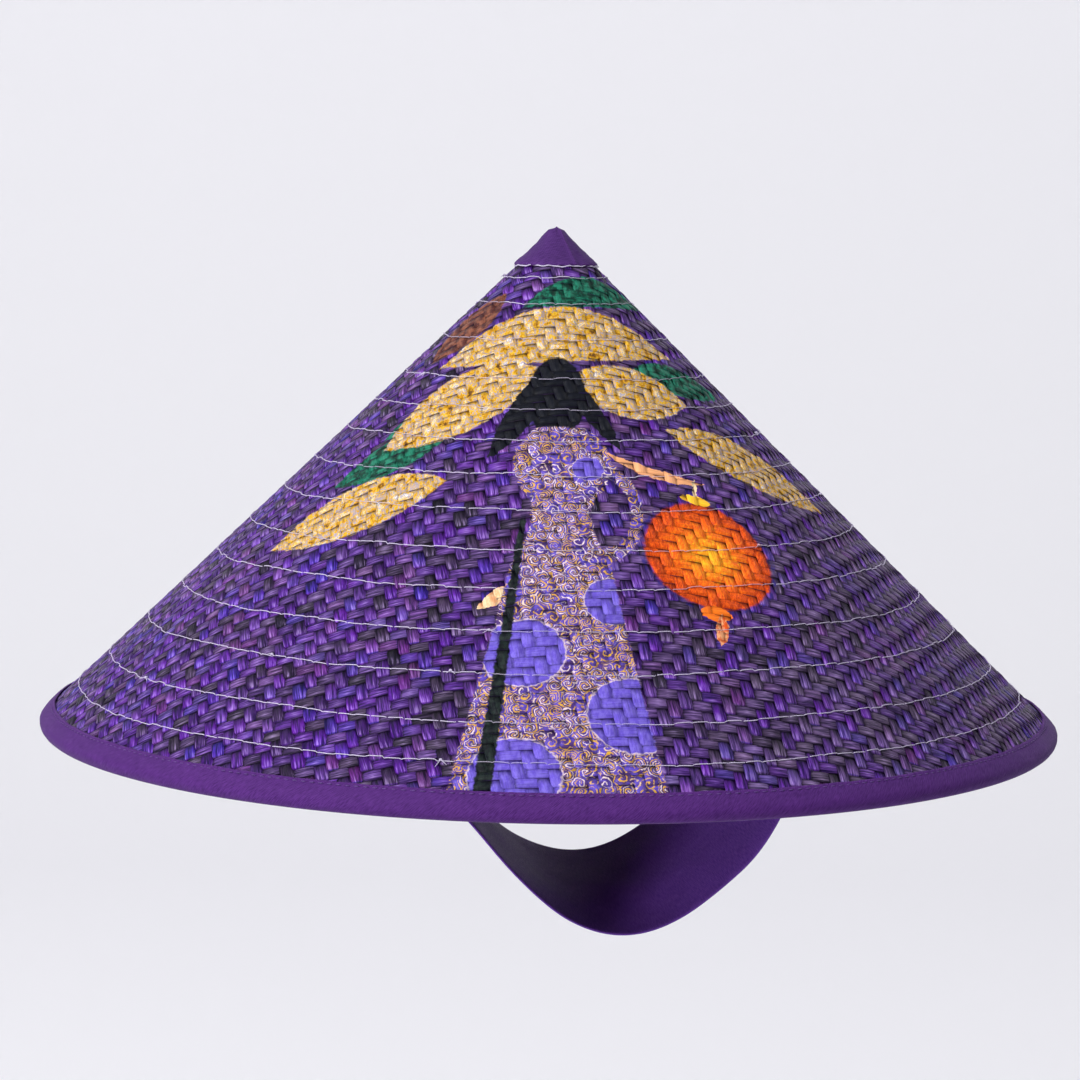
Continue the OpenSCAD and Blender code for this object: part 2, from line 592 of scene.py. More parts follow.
def fibre_group() -> bpy.types.NodeTree:
    """Builds the lengthwise fibres of a split plant strip: inputs are across and along it.

    Returns:
        The group.
    """

    def build(g: Graph, i: dict[str, Socket]) -> dict[str, Socket]:
        """Draws fine lines along the strip with broad patches.

        Args:
            g: The group's graph.
            i: Its inputs.

        Returns:
            Its outputs.
        """
        stretched = g.combine(g.mul(i["Across"], i["Fineness"]), g.mul(i["Along"], i["Length"]), i["Seed"])
        coarse = g.noise(stretched, 1.0, 3.0, 0.6)
        fine_place = g.vector("MULTIPLY", stretched, (3.1, 1.6, 1.0))
        fine = g.noise(fine_place, 1.0, 2.0, 0.5)
        height = g.plus(g.mul(coarse, 0.6), g.mul(fine, 0.4))
        return {"Height": height, "Streak": g.step(height, 0.36, 0.66)}

    return make_group(
        "Plant fibres",
        [
            ("Across", "Float", 0.0), ("Along", "Float", 0.0), ("Seed", "Float", 0.0),
            ("Fineness", "Float", 3.0), ("Length", "Float", 0.1),
        ],
        [("Height", "Float"), ("Streak", "Float")],
        build,
    )


def cloth_group() -> bpy.types.NodeTree:
    """Builds a fine cotton weave on coordinates in millimetres, turned to the bias by Turn.

    Returns:
        The group.
    """

    def build(g: Graph, i: dict[str, Socket]) -> dict[str, Socket]:
        """Draws the threads of a plain weave.

        Args:
            g: The group's graph.
            i: Its inputs.

        Returns:
            Its outputs.
        """
        turned = g.add(
            "VectorRotate", {"Vector": i["Place"], "Angle": i["Turn"]}, rotation_type="Z_AXIS"
        ).outputs[0]
        x, y, _ = g.split(turned)
        across = g.math("SINE", g.mul(g.over(x, i["Pitch"]), math.tau))
        down = g.math("SINE", g.mul(g.over(y, i["Pitch"]), math.tau))
        ribs = g.mul(g.plus(across, down), 0.25)
        slub = g.noise(g.vector("MULTIPLY", turned, (0.35, 3.0, 1.0)), 1.0, 3.0, 0.6)
        blotch = g.noise(i["Place"], 0.09, 3.0, 0.55)
        height = g.plus(ribs, g.mul(slub, 0.9))
        return {"Height": height, "Slub": g.step(slub, 0.3, 0.7), "Blotch": g.step(blotch, 0.32, 0.68)}

    return make_group(
        "Cotton weave",
        [("Place", "Vector", None), ("Turn", "Float", 0.785), ("Pitch", "Float", 0.55)],
        [("Height", "Float"), ("Slub", "Float"), ("Blotch", "Float")],
        build,
    )


def leaf_group() -> bpy.types.NodeTree:
    """Builds one painted leaf: a lens of given length and width, with its own coordinates.

    Returns:
        The group.
    """

    def build(g: Graph, i: dict[str, Socket]) -> dict[str, Socket]:
        """Draws the mask of one leaf.

        Args:
            g: The group's graph.
            i: Its inputs.

        Returns:
            Its outputs.
        """
        moved = g.vector("SUBTRACT", i["Place"], i["Centre"])
        turned = g.add(
            "VectorRotate", {"Vector": moved, "Angle": i["Turn"]}, rotation_type="Z_AXIS"
        ).outputs[0]
        x, y, _ = g.split(turned)
        along = g.over(x, i["Half length"])
        bend = g.mul(g.mul(along, along), i["Bend"])
        across = g.over(g.plus(y, bend), i["Half width"])
        room = g.minus(g.minus(1.0, g.math("POWER", g.absolute(along), 2.2)), g.absolute(across))
        return {"Mask": g.step(room, 0.0, 0.07), "Across": across}

    return make_group(
        "Painted leaf",
        [
            ("Place", "Vector", None), ("Centre", "Vector", None), ("Turn", "Float", 0.0),
            ("Half length", "Float", 30.0), ("Half width", "Float", 12.0), ("Bend", "Float", 0.0),
        ],
        [("Mask", "Float"), ("Across", "Float")],
        build,
    )


def disc_group() -> bpy.types.NodeTree:
    """Builds one painted round or oval: Distance is 0 at its centre and 1 at its edge.

    Returns:
        The group.
    """

    def build(g: Graph, i: dict[str, Socket]) -> dict[str, Socket]:
        """Draws the mask of one round.

        Args:
            g: The group's graph.
            i: Its inputs.

        Returns:
            Its outputs.
        """
        scaled = g.vector("DIVIDE", g.vector("SUBTRACT", i["Place"], i["Centre"]), i["Radii"])
        distance = g.add("VectorMath", {0: scaled}, operation="LENGTH").outputs["Value"]
        return {"Mask": g.step(distance, 1.0, 0.94), "Distance": distance}

    return make_group(
        "Painted round",
        [("Place", "Vector", None), ("Centre", "Vector", None), ("Radii", "Vector", (10.0, 10.0, 1.0))],
        [("Mask", "Float"), ("Distance", "Float")],
        build,
    )


class Paint:
    """Paint colours of the picture on the front."""

    PERIWINKLE: Colour = (0.118, 0.074, 0.50)
    PERIWINKLE_LIGHT: Colour = (0.22, 0.165, 0.66)
    SCROLL_GROUND: Colour = (0.070, 0.030, 0.15)
    SCROLL_GOLD: Colour = (0.64, 0.35, 0.045)
    SCROLL_CREAM: Colour = (0.74, 0.58, 0.60)
    UNDER: Colour = (0.050, 0.020, 0.130)
    CREAM: Colour = (0.80, 0.60, 0.36)
    GREY_LILAC: Colour = (0.36, 0.29, 0.27)
    GREEN_DARK: Colour = (0.002, 0.034, 0.022)
    GREEN: Colour = (0.016, 0.185, 0.115)
    RUSSET_DARK: Colour = (0.075, 0.022, 0.022)
    RUSSET: Colour = (0.24, 0.085, 0.050)
    BLACK: Colour = (0.003, 0.004, 0.008)
    BLUE_BLACK: Colour = (0.014, 0.015, 0.024)
    GREEN_BLACK: Colour = (0.020, 0.034, 0.028)
    LANTERN_EDGE: Colour = (0.015, 0.02, 0.26)
    ORANGE_DEEP: Colour = (0.62, 0.075, 0.008)
    ORANGE: Colour = (0.92, 0.185, 0.012)
    YELLOW: Colour = (1.0, 0.55, 0.03)
    PEACH: Colour = (0.86, 0.40, 0.19)
    DAB_EDGE: float = 0.007
    LEAF_DABS: tuple[tuple[float, Colour], ...] = (
        (0.300, (0.16, 0.070, 0.012)),
        (0.385, (0.52, 0.24, 0.012)),
        (0.440, (0.72, 0.42, 0.022)),
        (0.485, (0.33, 0.30, 0.41)),
        (0.520, (0.64, 0.34, 0.016)),
        (0.560, (0.80, 0.60, 0.30)),
        (0.600, (0.38, 0.34, 0.44)),
        (0.640, (0.84, 0.76, 0.70)),
    )
    LANTERN: tuple[tuple[float, Colour], ...] = (
        (0.02, (1.0, 0.50, 0.02)),
        (0.22, (0.96, 0.30, 0.012)),
        (0.50, (0.90, 0.15, 0.008)),
        (0.75, (0.74, 0.085, 0.006)),
        (1.0, (0.42, 0.035, 0.004)),
    )


def scroll_group() -> bpy.types.NodeTree:
    """Builds the fine gold and cream curls that fill the tall vase.

    Returns:
        The group.
    """

    def build(g: Graph, i: dict[str, Socket]) -> dict[str, Socket]:
        """Draws curls in the cells of a pattern.

        Args:
            g: The group's graph.
            i: Its inputs.

        Returns:
            Its outputs.
        """
        cells = g.add(
            "TexVoronoi", {"Vector": i["Place"], "Scale": i["Density"], "Randomness": 0.75},
            voronoi_dimensions="2D",
        )
        x, y, _ = g.split(g.vector("SUBTRACT", i["Place"], cells.outputs["Position"]))
        pick, other, _ = g.split(cells.outputs["Color"])
        angle = g.over(g.math("ARCTAN2", y, x), math.tau)
        reach = g.mul(cells.outputs["Distance"], 2.6)
        spiral = g.math("FRACT", g.plus(g.plus(angle, reach), pick))
        stroke = g.mul(g.step(spiral, 0.02, 0.10), g.step(spiral, 0.38, 0.28))
        second = g.mul(g.step(spiral, 0.55, 0.62), g.step(spiral, 0.80, 0.72))
        broken = g.step(g.noise(i["Place"], 0.42, 2.0, 0.6), 0.36, 0.50)
        mottled = g.mix(
            g.step(g.noise(i["Place"], 0.25, 3.0, 0.6), 0.40, 0.60), Paint.PERIWINKLE, Paint.SCROLL_GROUND
        )
        gold = g.mix(
            g.mul(stroke, broken), mottled,
            g.mix(g.step(other, 0.62, 0.80), Paint.SCROLL_GOLD, Paint.SCROLL_CREAM),
        )
        cream = g.mix(
            g.mul(second, g.step(pick, 0.25, 0.45)), gold,
            g.mix(g.step(other, 0.30, 0.62), Paint.SCROLL_CREAM, Paint.SCROLL_GOLD),
        )
        return {"Colour": cream}

    return make_group(
        "Curled brush strokes", [("Place", "Vector", None), ("Density", "Float", 0.21)],
        [("Colour", "Color")], build,
    )


class LeafPaint(Enum):
    """Which paint a leaf of the picture is filled with."""

    GOLD = "gold"
    GREEN = "green"
    RUSSET = "russet"
    DARK = "dark"
    PEACH = "peach"


@dataclass(frozen=True)
class LeafStroke:
    """One painted leaf on the flat mat, in millimetres and degrees."""

    centre: tuple[float, float]
    turn: float
    half_length: float
    half_width: float
    paint: LeafPaint
    bend: float = 0.0


@dataclass(frozen=True)
class RoundStroke:
    """One plain round spot on the flat mat, in millimetres."""

    centre: tuple[float, float]
    radius: float


class Painter:
    """Lays strokes over one another on the flat mat, from the back to the front."""

    def __init__(self, g: Graph, raw: Socket) -> None:
        """Starts a bare picture whose strokes wander a little, as a hand's do.

        Args:
            g: The picture's graph.
            raw: Place on the flat mat, in millimetres.
        """
        self.g = g
        self.leaf_tree = leaf_group()
        self.round_tree = disc_group()
        wander = g.add("TexNoise", {"Vector": raw, "Scale": 0.45, "Detail": 2.0})
        shift = g.vector("SUBTRACT", wander.outputs["Color"], (0.5, 0.5, 0.5))
        self.place = g.vector("ADD", raw, g.vector("MULTIPLY", shift, (2.2, 2.2, 0.0)))
        self.patch = g.step(self.uneven(raw, (0.30, 0.24, 1.0), 3.0, 0.65), 0.40, 0.60)
        self.fine = g.step(self.uneven(raw, (0.55, 0.28, 1.0), 3.0, 0.7), 0.38, 0.62)
        speck = self.uneven(raw, (0.36, 0.24, 1.0), 4.0, 0.62)
        self.dab = g.plus(g.mul(speck, 0.75), g.mul(g.noise(raw, 0.11, 2.0, 0.5), 0.25))
        self.colour: object = Paint.UNDER
        self.cover: object = 0.0

    def uneven(self, raw: Socket, stretch: Colour, detail: float, rough: float) -> Socket:
        """Gives noise that is stretched along the brush strokes."""
        return self.g.noise(self.g.vector("MULTIPLY", raw, stretch), 1.0, detail, rough)

    def lay(self, mask: Socket, paint: object) -> None:
        """Lays one stroke over what is there.

        Args:
            mask: Where the stroke is.
            paint: Its colour.
        """
        self.colour = self.g.mix(mask, self.colour, paint)
        self.cover = self.g.math("MAXIMUM", self.cover, mask)

    def round(self, centre: tuple[float, float], radii: tuple[float, float]) -> tuple[Socket, Socket]:
        """Places a round or an oval.

        Args:
            centre: Its centre on the flat mat.
            radii: Its half widths.

        Returns:
            Its mask, and the distance that is 0 at its centre and 1 at its edge.
        """
        node = self.g.use(self.round_tree, Place=self.place, Centre=(*centre, 0.0), Radii=(*radii, 1.0))
        return node.outputs["Mask"], node.outputs["Distance"]

    def leaf(self, stroke: LeafStroke) -> tuple[Socket, Socket]:
        """Places a leaf.

        Args:
            stroke: The leaf.

        Returns:
            Its mask, and the place across it.
        """
        node = self.g.use(
            self.leaf_tree,
            Place=self.place,
            Centre=(*stroke.centre, 0.0),
            Turn=math.radians(stroke.turn),
            Half_length=stroke.half_length,
            Half_width=stroke.half_width,
            Bend=stroke.bend,
        )
        return node.outputs["Mask"], node.outputs["Across"]

    def dark(self, share: float, lighter: Colour) -> Socket:
        """Mixes a near black with some of a lighter colour."""
        return self.g.mix(self.g.mul(self.fine, share), Paint.BLACK, lighter)

    def dabs(self) -> Socket:
        """Gives the leaves' gold paint: crisp dabs of several colours.

        Returns:
            The colour.
        """
        crisp = [Paint.LEAF_DABS[0]]
        for (_, before), (edge, after) in zip(Paint.LEAF_DABS, Paint.LEAF_DABS[1:]):
            crisp += [(edge - Paint.DAB_EDGE, before), (edge + Paint.DAB_EDGE, after)]
        return self.g.ramp(self.dab, crisp)

    def leaf_colour(self, across: Socket, paint: LeafPaint) -> Socket:
        """Gives one leaf's paint, uneven and darker along its vein.

        Args:
            across: Place across the leaf.
            paint: Which paint it is filled with.

        Returns:
            The colour.
        """
        if paint is LeafPaint.DARK:
            return self.dark(0.4, Paint.BLUE_BLACK)
        if paint is LeafPaint.PEACH:
            return self.g.mix(self.fine, Paint.PEACH, Paint.CREAM)
        vein = self.g.mul(self.g.step(self.g.absolute(across), 0.05, 0.0), 0.35)
        if paint is LeafPaint.GOLD:
            return self.g.mix(vein, self.dabs(), Paint.GREY_LILAC)
        dark, light = Paint.GREEN_DARK, Paint.GREEN
        if paint is LeafPaint.RUSSET:
            dark, light = Paint.RUSSET_DARK, Paint.RUSSET
        return self.g.mix(vein, self.g.mix(self.patch, dark, light), Paint.BLACK)


@dataclass
class Picture:
    """The picture on the front: a spray of leaves over a tall flared vase, with a round paper lantern."""

    leaves: tuple[LeafStroke, ...] = (
        LeafStroke((-36, 44), 38, 21, 10, LeafPaint.RUSSET),
        LeafStroke((14, 33), 20, 29, 8.5, LeafPaint.GREEN),
        LeafStroke((50, 67), 18, 24, 9, LeafPaint.GREEN),
        LeafStroke((-62, 107), 12, 27, 10, LeafPaint.GREEN),
        LeafStroke((-51, 88), 26, 19, 5, LeafPaint.GREEN),
        LeafStroke((1, 58.5), 6, 49, 15, LeafPaint.GOLD),
        LeafStroke((-36, 89), 23, 34, 16.5, LeafPaint.GOLD),
        LeafStroke((29, 84), 3, 25, 14, LeafPaint.GOLD, 3.0),
        LeafStroke((-76, 131), 5, 38, 14, LeafPaint.GOLD),
        LeafStroke((80, 100), -1.5, 38, 12.5, LeafPaint.GOLD),
        LeafStroke((-11.5, 98), 64, 26, 5.8, LeafPaint.DARK, 1.5),
        LeafStroke((14, 97), -60, 22, 4.0, LeafPaint.DARK, 1.0),
        LeafStroke((-19, 186), 38, 8.5, 3.0, LeafPaint.PEACH),
    )
    spots: tuple[RoundStroke, ...] = (
        RoundStroke((13, 126), 6),
        RoundStroke((22, 187), 10.8),
        RoundStroke((-9, 211), 15.3),
        RoundStroke((29, 236), 16.6),
        RoundStroke((-11, 263), 16.6),
    )
    bud_centre: tuple[float, float] = (1.0, 91.0)
    bud_radii: tuple[float, float] = (11.5, 20.5)
    vase_top: float = 106.0
    vase_foot: float = 272.0
    vase_middle: float = 3.5
    vase_outline: tuple[tuple[float, float], ...] = (
        (0.0, 9.0), (0.03, 14.0), (0.10, 18.5), (0.16, 17.0),
        (0.24, 11.5), (0.40, 18.5), (0.54, 23.0), (1.0, 38.5),
    )
    handle_centre: tuple[float, float] = (17.0, 146.0)
    handle_radii: tuple[float, float] = (17.0, 25.0)
    stripe_top: tuple[float, float] = (-10.0, 148.0)
    stripe_foot: tuple[float, float] = (-22.0, 272.0)
    stripe_half_widths: tuple[float, float] = (1.5, 3.6)
    lantern_centre: tuple[float, float] = (58.0, 158.5)
    lantern_radii: tuple[float, float] = (25.5, 26.0)
    twig: LeafStroke = LeafStroke((38.0, 123.5), -8, 20.0, 2.6, LeafPaint.PEACH, 4.0)
    stem: LeafStroke = LeafStroke((53.5, 128.0), 90, 7.0, 0.9, LeafPaint.PEACH)
    tassel: LeafStroke = LeafStroke((61.5, 192.5), -93, 8.0, 2.4, LeafPaint.PEACH)

    def half_width(self, g: Graph, down: Socket) -> Socket:
        """Gives the vase's half width.

        Args:
            g: The picture's graph.
            down: Share of the way down the vase.

        Returns:
            The half width in millimetres.
        """
        curve = g.add("FloatCurve", {"Value": down})
        points = curve.mapping.curves[0].points
        widest = max(width for _, width in self.vase_outline)
        while len(points) < len(self.vase_outline):
            points.new(0.5, 0.5)
        for point, (where, width) in zip(points, self.vase_outline):
            point.location = (where, width / widest)
        curve.mapping.update()
        return g.mul(curve.outputs[0], widest)

    def vase(self, painter: Painter) -> None:
        """Paints the dark bud, then the vase and its handle in curls, with plain spots on the vase.

        Args:
            painter: Lays the strokes.
        """
        g = painter.g
        x, y, _ = g.split(painter.place)
        bud, _ = painter.round(self.bud_centre, self.bud_radii)
        painter.lay(bud, painter.dark(0.4, Paint.BLUE_BLACK))
        curls = g.use(scroll_group(), Place=painter.place).outputs["Colour"]
        mask, distance = painter.round(self.handle_centre, self.handle_radii)
        painter.lay(g.mul(mask, g.step(distance, 0.66, 0.72)), curls)
        down = g.over(g.minus(y, self.vase_top), self.vase_foot - self.vase_top)
        side = g.minus(self.half_width(g, down), g.absolute(g.minus(x, self.vase_middle)))
        body = g.mul(g.step(side, 0.0, 1.0), g.step(down, -0.002, 0.004))
        painter.lay(body, curls)
        plain = g.mix(g.mul(painter.fine, 0.55), Paint.PERIWINKLE, Paint.PERIWINKLE_LIGHT)
        for spot in self.spots:
            mask, distance = painter.round(spot.centre, (spot.radius, spot.radius))
            edged = g.mix(g.step(distance, 0.925, 0.955, 0.0, 0.8), plain, Paint.SCROLL_CREAM)
            painter.lay(g.mul(mask, body), edged)

    def stripe(self, painter: Painter) -> None:
        """Paints the dark stripe that runs down the vase and widens towards its foot.

        Args:
            painter: Lays the strokes.
        """
        g = painter.g
        x, y, _ = g.split(painter.place)
        (x_0, y_0), (x_1, y_1) = self.stripe_top, self.stripe_foot
        narrow, wide = self.stripe_half_widths
        middle = g.plus(g.mul(g.minus(y, y_0), (x_1 - x_0) / (y_1 - y_0)), x_0)
        widths = {"Value": y, "From Min": y_0, "From Max": y_1, "To Min": narrow, "To Max": wide}
        room = g.minus(g.add("MapRange", widths).outputs[0], g.absolute(g.minus(x, middle)))
        mask = g.mul(g.step(room, 0.0, 0.8), g.step(y, y_0 - 4, y_0 + 4))
        painter.lay(mask, painter.dark(0.6, Paint.GREEN_BLACK))

    def lantern(self, painter: Painter) -> None:
        """Paints the twig, and the lantern that hangs from it with its cap and tassel.

        Args:
            painter: Lays the strokes.
        """
        g = painter.g
        (c_x, c_y), (r_x, r_y) = self.lantern_centre, self.lantern_radii
        painter.lay(painter.leaf(self.twig)[0], Paint.PEACH)
        painter.lay(painter.leaf(self.stem)[0], Paint.CREAM)
        _, distance = painter.round((c_x, c_y), (r_x * 1.09, r_y * 1.07))
        painter.lay(g.mul(g.step(distance, 1.0, 0.96), g.mul(painter.fine, 0.7)), Paint.LANTERN_EDGE)
        mask, distance = painter.round((c_x, c_y), (r_x, r_y))
        brushed = g.noise(g.vector("MULTIPLY", painter.place, (1.5, 0.42, 1.0)), 1.0, 4.0, 0.75)
        depth = g.plus(distance, g.mul(g.minus(brushed, 0.5), 2.0))
        painter.lay(mask, g.ramp(depth, Paint.LANTERN))
        painter.lay(painter.round((c_x - 4.5, c_y - r_y - 0.5), (6.5, 2.2))[0], Paint.YELLOW)
        painter.lay(painter.round((c_x + 1.5, c_y + r_y + 1.0), (6.0, 3.6))[0], Paint.ORANGE)
        painter.lay(painter.leaf(self.tassel)[0], g.mix(painter.fine, Paint.ORANGE_DEEP, Paint.PEACH))

    def build(self, g: Graph, i: dict[str, Socket]) -> dict[str, Socket]:
        """Paints the whole picture, from the back to the front.

        Args:
            g: The picture's graph.
            i: Its inputs.

        Returns:
            The picture's colour, and how far it covers the strips.
        """
        painter = Painter(g, i["Place"])
        for stroke in self.leaves:
            mask, across = painter.leaf(stroke)
            painter.lay(mask, painter.leaf_colour(across, stroke.paint))
        self.vase(painter)
        self.stripe(painter)
        self.lantern(painter)
        return {"Colour": painter.colour, "Cover": painter.cover}

    def group(self) -> bpy.types.NodeTree:
        """Makes the picture's node group, on flat coordinates in millimetres."""
        return make_group(
            "Painted picture", [("Place", "Vector", None)], [("Colour", "Color"), ("Cover", "Float")],
            self.build,
        )


@dataclass(frozen=True)
class Effects:
    """The node groups that the materials share."""

    fibre: bpy.types.NodeTree
    cloth: bpy.types.NodeTree
    picture: bpy.types.NodeTree


# ---------------------------------------------------------------- finishes


def start_material(name: str) -> tuple[bpy.types.Material, Graph, bpy.types.Node]:
    """Makes an empty node material.

    Args:
        name: The material's name.

    Returns:
        The material, its graph and its Principled shader.
    """
    material = bpy.data.materials.new(name)
    material.use_nodes = True
    graph = Graph(material.node_tree)
    shader = next(node for node in material.node_tree.nodes if node.type == "BSDF_PRINCIPLED")
    return material, graph, shader


def bump(g: Graph, shader: bpy.types.Node, height: Socket, distance: float, strength: float = 1.0) -> None:
    """Feeds a height into the shader's normal."""
    node = g.add("Bump", {"Height": height, "Distance": distance, "Strength": strength})
    g.feed(shader.inputs["Normal"], node.outputs["Normal"])


@dataclass(frozen=True)
class StripFinish:
    """Dyed sedge strips: violet dye greyed by painted sheen, fibres along the strip, painted shade between
    floats and at strip edges, painted highlights on lit floats, and the picture on the outside.
    """

    name: str
    painted: bool
    shade: float = 1.0
    roughness: float = 0.42
    dye: tuple[tuple[float, Colour], ...] = (
        (0.10, (0.010, 0.006, 0.022)),
        (0.20, (0.030, 0.014, 0.055)),
        (0.32, (0.040, 0.007, 0.130)),
        (0.46, (0.062, 0.009, 0.215)),
        (0.56, (0.080, 0.010, 0.240)),
        (0.66, (0.036, 0.016, 0.270)),
        (0.76, (0.110, 0.030, 0.250)),
        (0.88, (0.075, 0.008, 0.130)),
        (1.00, (0.115, 0.050, 0.230)),
    )
    # Grey that the painted sheen mixes into the dye.
    grey: Colour = (0.098, 0.064, 0.140)
    dim: Colour = (0.16, 0.14, 0.24)
    bright: Colour = (2.3, 2.4, 2.0)
    # Colour and share of the painted highlight on the lit middles of floats.
    painted_highlight: Colour = (0.36, 0.26, 0.52)
    highlight_share: float = 0.42
    gloss: float = 0.10

    def material(self, effects: Effects) -> bpy.types.Material:
        """Builds the material.

        Args:
            effects: The shared node groups.

        Returns:
            The material.
        """
        material, g, shader = start_material(self.name)
        across, along, _ = g.split(g.uv("strip"))
        seed = g.value_of("seed")
        fibre = g.use(effects.fibre, Across=across, Along=along, Seed=g.mul(seed, 91.0))
        dyed = g.ramp(g.value_of("tone"), self.dye)
        # The grey attribute is painted sheen: rows greyer, and the right side greyer still, as glossy
        # reflection would make them, with the strips' own uneven fleck.
        dyed = g.mix(g.value_of("grey"), dyed, self.grey)
        dim, bright = g.tint(dyed, self.dim), g.tint(dyed, self.bright)
        streaked = g.mix(fibre.outputs["Streak"], dim, bright)
        # The light attribute is painted shade: how much light reaches each station between its neighbours,
        # multiplied into the colour below.
        light = g.value_of("light")
        # Painted highlight: lighter lilac on the well-lit middles of floats where the fibres stand high.
        painted_highlight = g.mul(g.step(light, 0.80, 1.15), g.step(fibre.outputs["Height"], 0.50, 0.62))
        base = g.mix(g.mul(painted_highlight, self.highlight_share), streaked, self.painted_highlight)
        # Painted shade: darker towards both edges of each strip where it dips into the gaps, then times the
        # painted shade between floats.
        edges = g.mul(g.step(across, 1.0, 0.60, 0.22, 1.0), g.step(across, -1.0, -0.84, 0.50, 1.0))
        shadow = g.mul(edges, light)
        base = g.tint(base, g.grey(shadow))
        if self.painted:
            picture = g.use(effects.picture, Place=g.uv("flat"))
            held = g.mul(picture.outputs["Cover"], g.step(g.value_of("lift"), -0.50, 0.10))
            held = g.mul(held, g.step(fibre.outputs["Height"], 0.28, 0.40, 0.70, 1.0))
            held = g.mul(held, g.step(edges, 0.22, 0.60, 0.40, 1.0))
            # The picture takes the same painted shade, under its fibre texture.
            tooth = g.step(fibre.outputs["Height"], 0.25, 0.62, 0.62, 1.12)
            lit = g.mul(tooth, g.step(shadow, 0.0, 0.75, 0.38, 1.0))
            base = g.mix(held, base, g.tint(picture.outputs["Colour"], g.grey(lit)))
        if self.shade != 1.0:
            base = g.tint(base, (self.shade, self.shade, self.shade))
        g.feed(shader.inputs["Base Color"], base)
        g.feed(
            shader.inputs["Roughness"],
            g.step(fibre.outputs["Height"], 0.3, 0.7, self.roughness + 0.12, self.roughness - 0.04),
        )
        shader.inputs["Specular IOR Level"].default_value = self.gloss
        bump(g, shader, fibre.outputs["Height"], 0.00030, 1.0)
        return material


@dataclass(frozen=True)
class ThreadFinish:
    """Spun sewing thread: a ply twist along it with painted shade in its grooves; where it crosses the
    picture it carries the paint.
    """

    name: str
    colour: Colour
    painted: bool = False
    paint_share: float = 0.45
    twist: float = 9.0
    ply_groove_shade: Colour = (0.72, 0.70, 0.74)

    def material(self, effects: Effects) -> bpy.types.Material:
        """Builds the material from the shared groups.

        Args:
            effects: The shared node groups.

        Returns:
            The material.
        """
        material, g, shader = start_material(self.name)
        around, along, _ = g.split(g.uv("thread"))
        ply = g.math("SINE", g.plus(g.mul(along, self.twist), g.mul(around, math.tau)))
        twist = g.step(ply, -1.0, 1.0)
        # Painted shade: the twist's grooves darker.
        base = g.mix(g.mul(twist, 0.5), g.tint(self.colour, self.ply_groove_shade), self.colour)
        if self.painted:
            picture = g.use(effects.picture, Place=g.uv("flat"))
            held = g.mul(picture.outputs["Cover"], self.paint_share)
            base = g.mix(held, base, picture.outputs["Colour"])
        g.feed(shader.inputs["Base Color"], base)
        g.feed(shader.inputs["Roughness"], g.step(ply, -1.0, 1.0, 0.62, 0.50))
        bump(g, shader, twist, 0.0001, 0.6)
        return material


@dataclass(frozen=True)
class ClothFinish:
    """Dyed cotton cloth: weave, slubs, faint blotches and a soft sheen."""

    name: str
    colour: Colour
    light: Colour
    roughness: float = 0.72
    turn: float = 0.785
    pitch: float = 0.62
    gloss: float = 0.15
    sheen: float = 0.03
    relief: float = 0.00012

    def material(self, effects: Effects) -> bpy.types.Material:
        """Builds the material from the shared groups.

        Args:
            effects: The shared node groups.

        Returns:
            The material.
        """
        material, g, shader = start_material(self.name)
        weave = g.use(effects.cloth, Place=g.uv("cloth"), Turn=self.turn, Pitch=self.pitch)
        base = g.mix(weave.outputs["Slub"], self.colour, self.light)
        worn = g.mul(g.value_of("wear"), g.step(weave.outputs["Height"], 0.3, 0.8))
        base = g.mix(g.mul(weave.outputs["Blotch"], 0.35), base, g.tint(base, (0.70, 0.70, 0.74)))
        base = g.mix(g.mul(worn, 0.7), base, g.tint(self.light, (1.9, 1.9, 1.7)))
        g.feed(shader.inputs["Base Color"], base)
        g.feed(
            shader.inputs["Roughness"],
            g.step(weave.outputs["Slub"], 0.0, 1.0, self.roughness + 0.06, self.roughness - 0.05),
        )
        shader.inputs["Specular IOR Level"].default_value = self.gloss
        shader.inputs["Sheen Weight"].default_value = self.sheen
        shader.inputs["Sheen Roughness"].default_value = 0.4
        bump(g, shader, weave.outputs["Height"], self.relief, 0.7)
        return material


@dataclass(frozen=True)
class BambooFinish:
    """Split bamboo bent round the axis: fibres along the hoop, darker joints now and then."""

    name: str
    pale: Colour = (0.56, 0.40, 0.19)
    dark: Colour = (0.30, 0.18, 0.07)

    def material(self, effects: Effects) -> bpy.types.Material:
        """Builds the material from the shared groups.

        Args:
            effects: The shared node groups.

        Returns:
            The material.
        """
        material, g, shader = start_material(self.name)
        x, y, z = g.split(g.place())
        radius = g.math("SQRT", g.plus(g.mul(x, x), g.mul(y, y)))
        length = g.mul(g.math("ARCTAN2", x, y), g.mul(radius, 1.0 / MM))
        across = g.mul(g.plus(radius, g.mul(z, 0.7)), 1.0 / MM)
        fibre = g.use(
            effects.fibre, Across=across, Along=length, Seed=g.mul(z, 40.0), Fineness=2.4, Length=0.06
        )
        joint = g.noise(g.combine(g.mul(length, 0.02), g.mul(z, 90.0)), 1.0, 1.0)
        base = g.mix(fibre.outputs["Streak"], self.dark, self.pale)
        base = g.mix(g.step(joint, 0.66, 0.72), base, self.dark)
        g.feed(shader.inputs["Base Color"], base)
        g.feed(shader.inputs["Roughness"], g.step(fibre.outputs["Height"], 0.3, 0.7, 0.62, 0.48))
        bump(g, shader, fibre.outputs["Height"], 0.0002, 0.7)
        return material


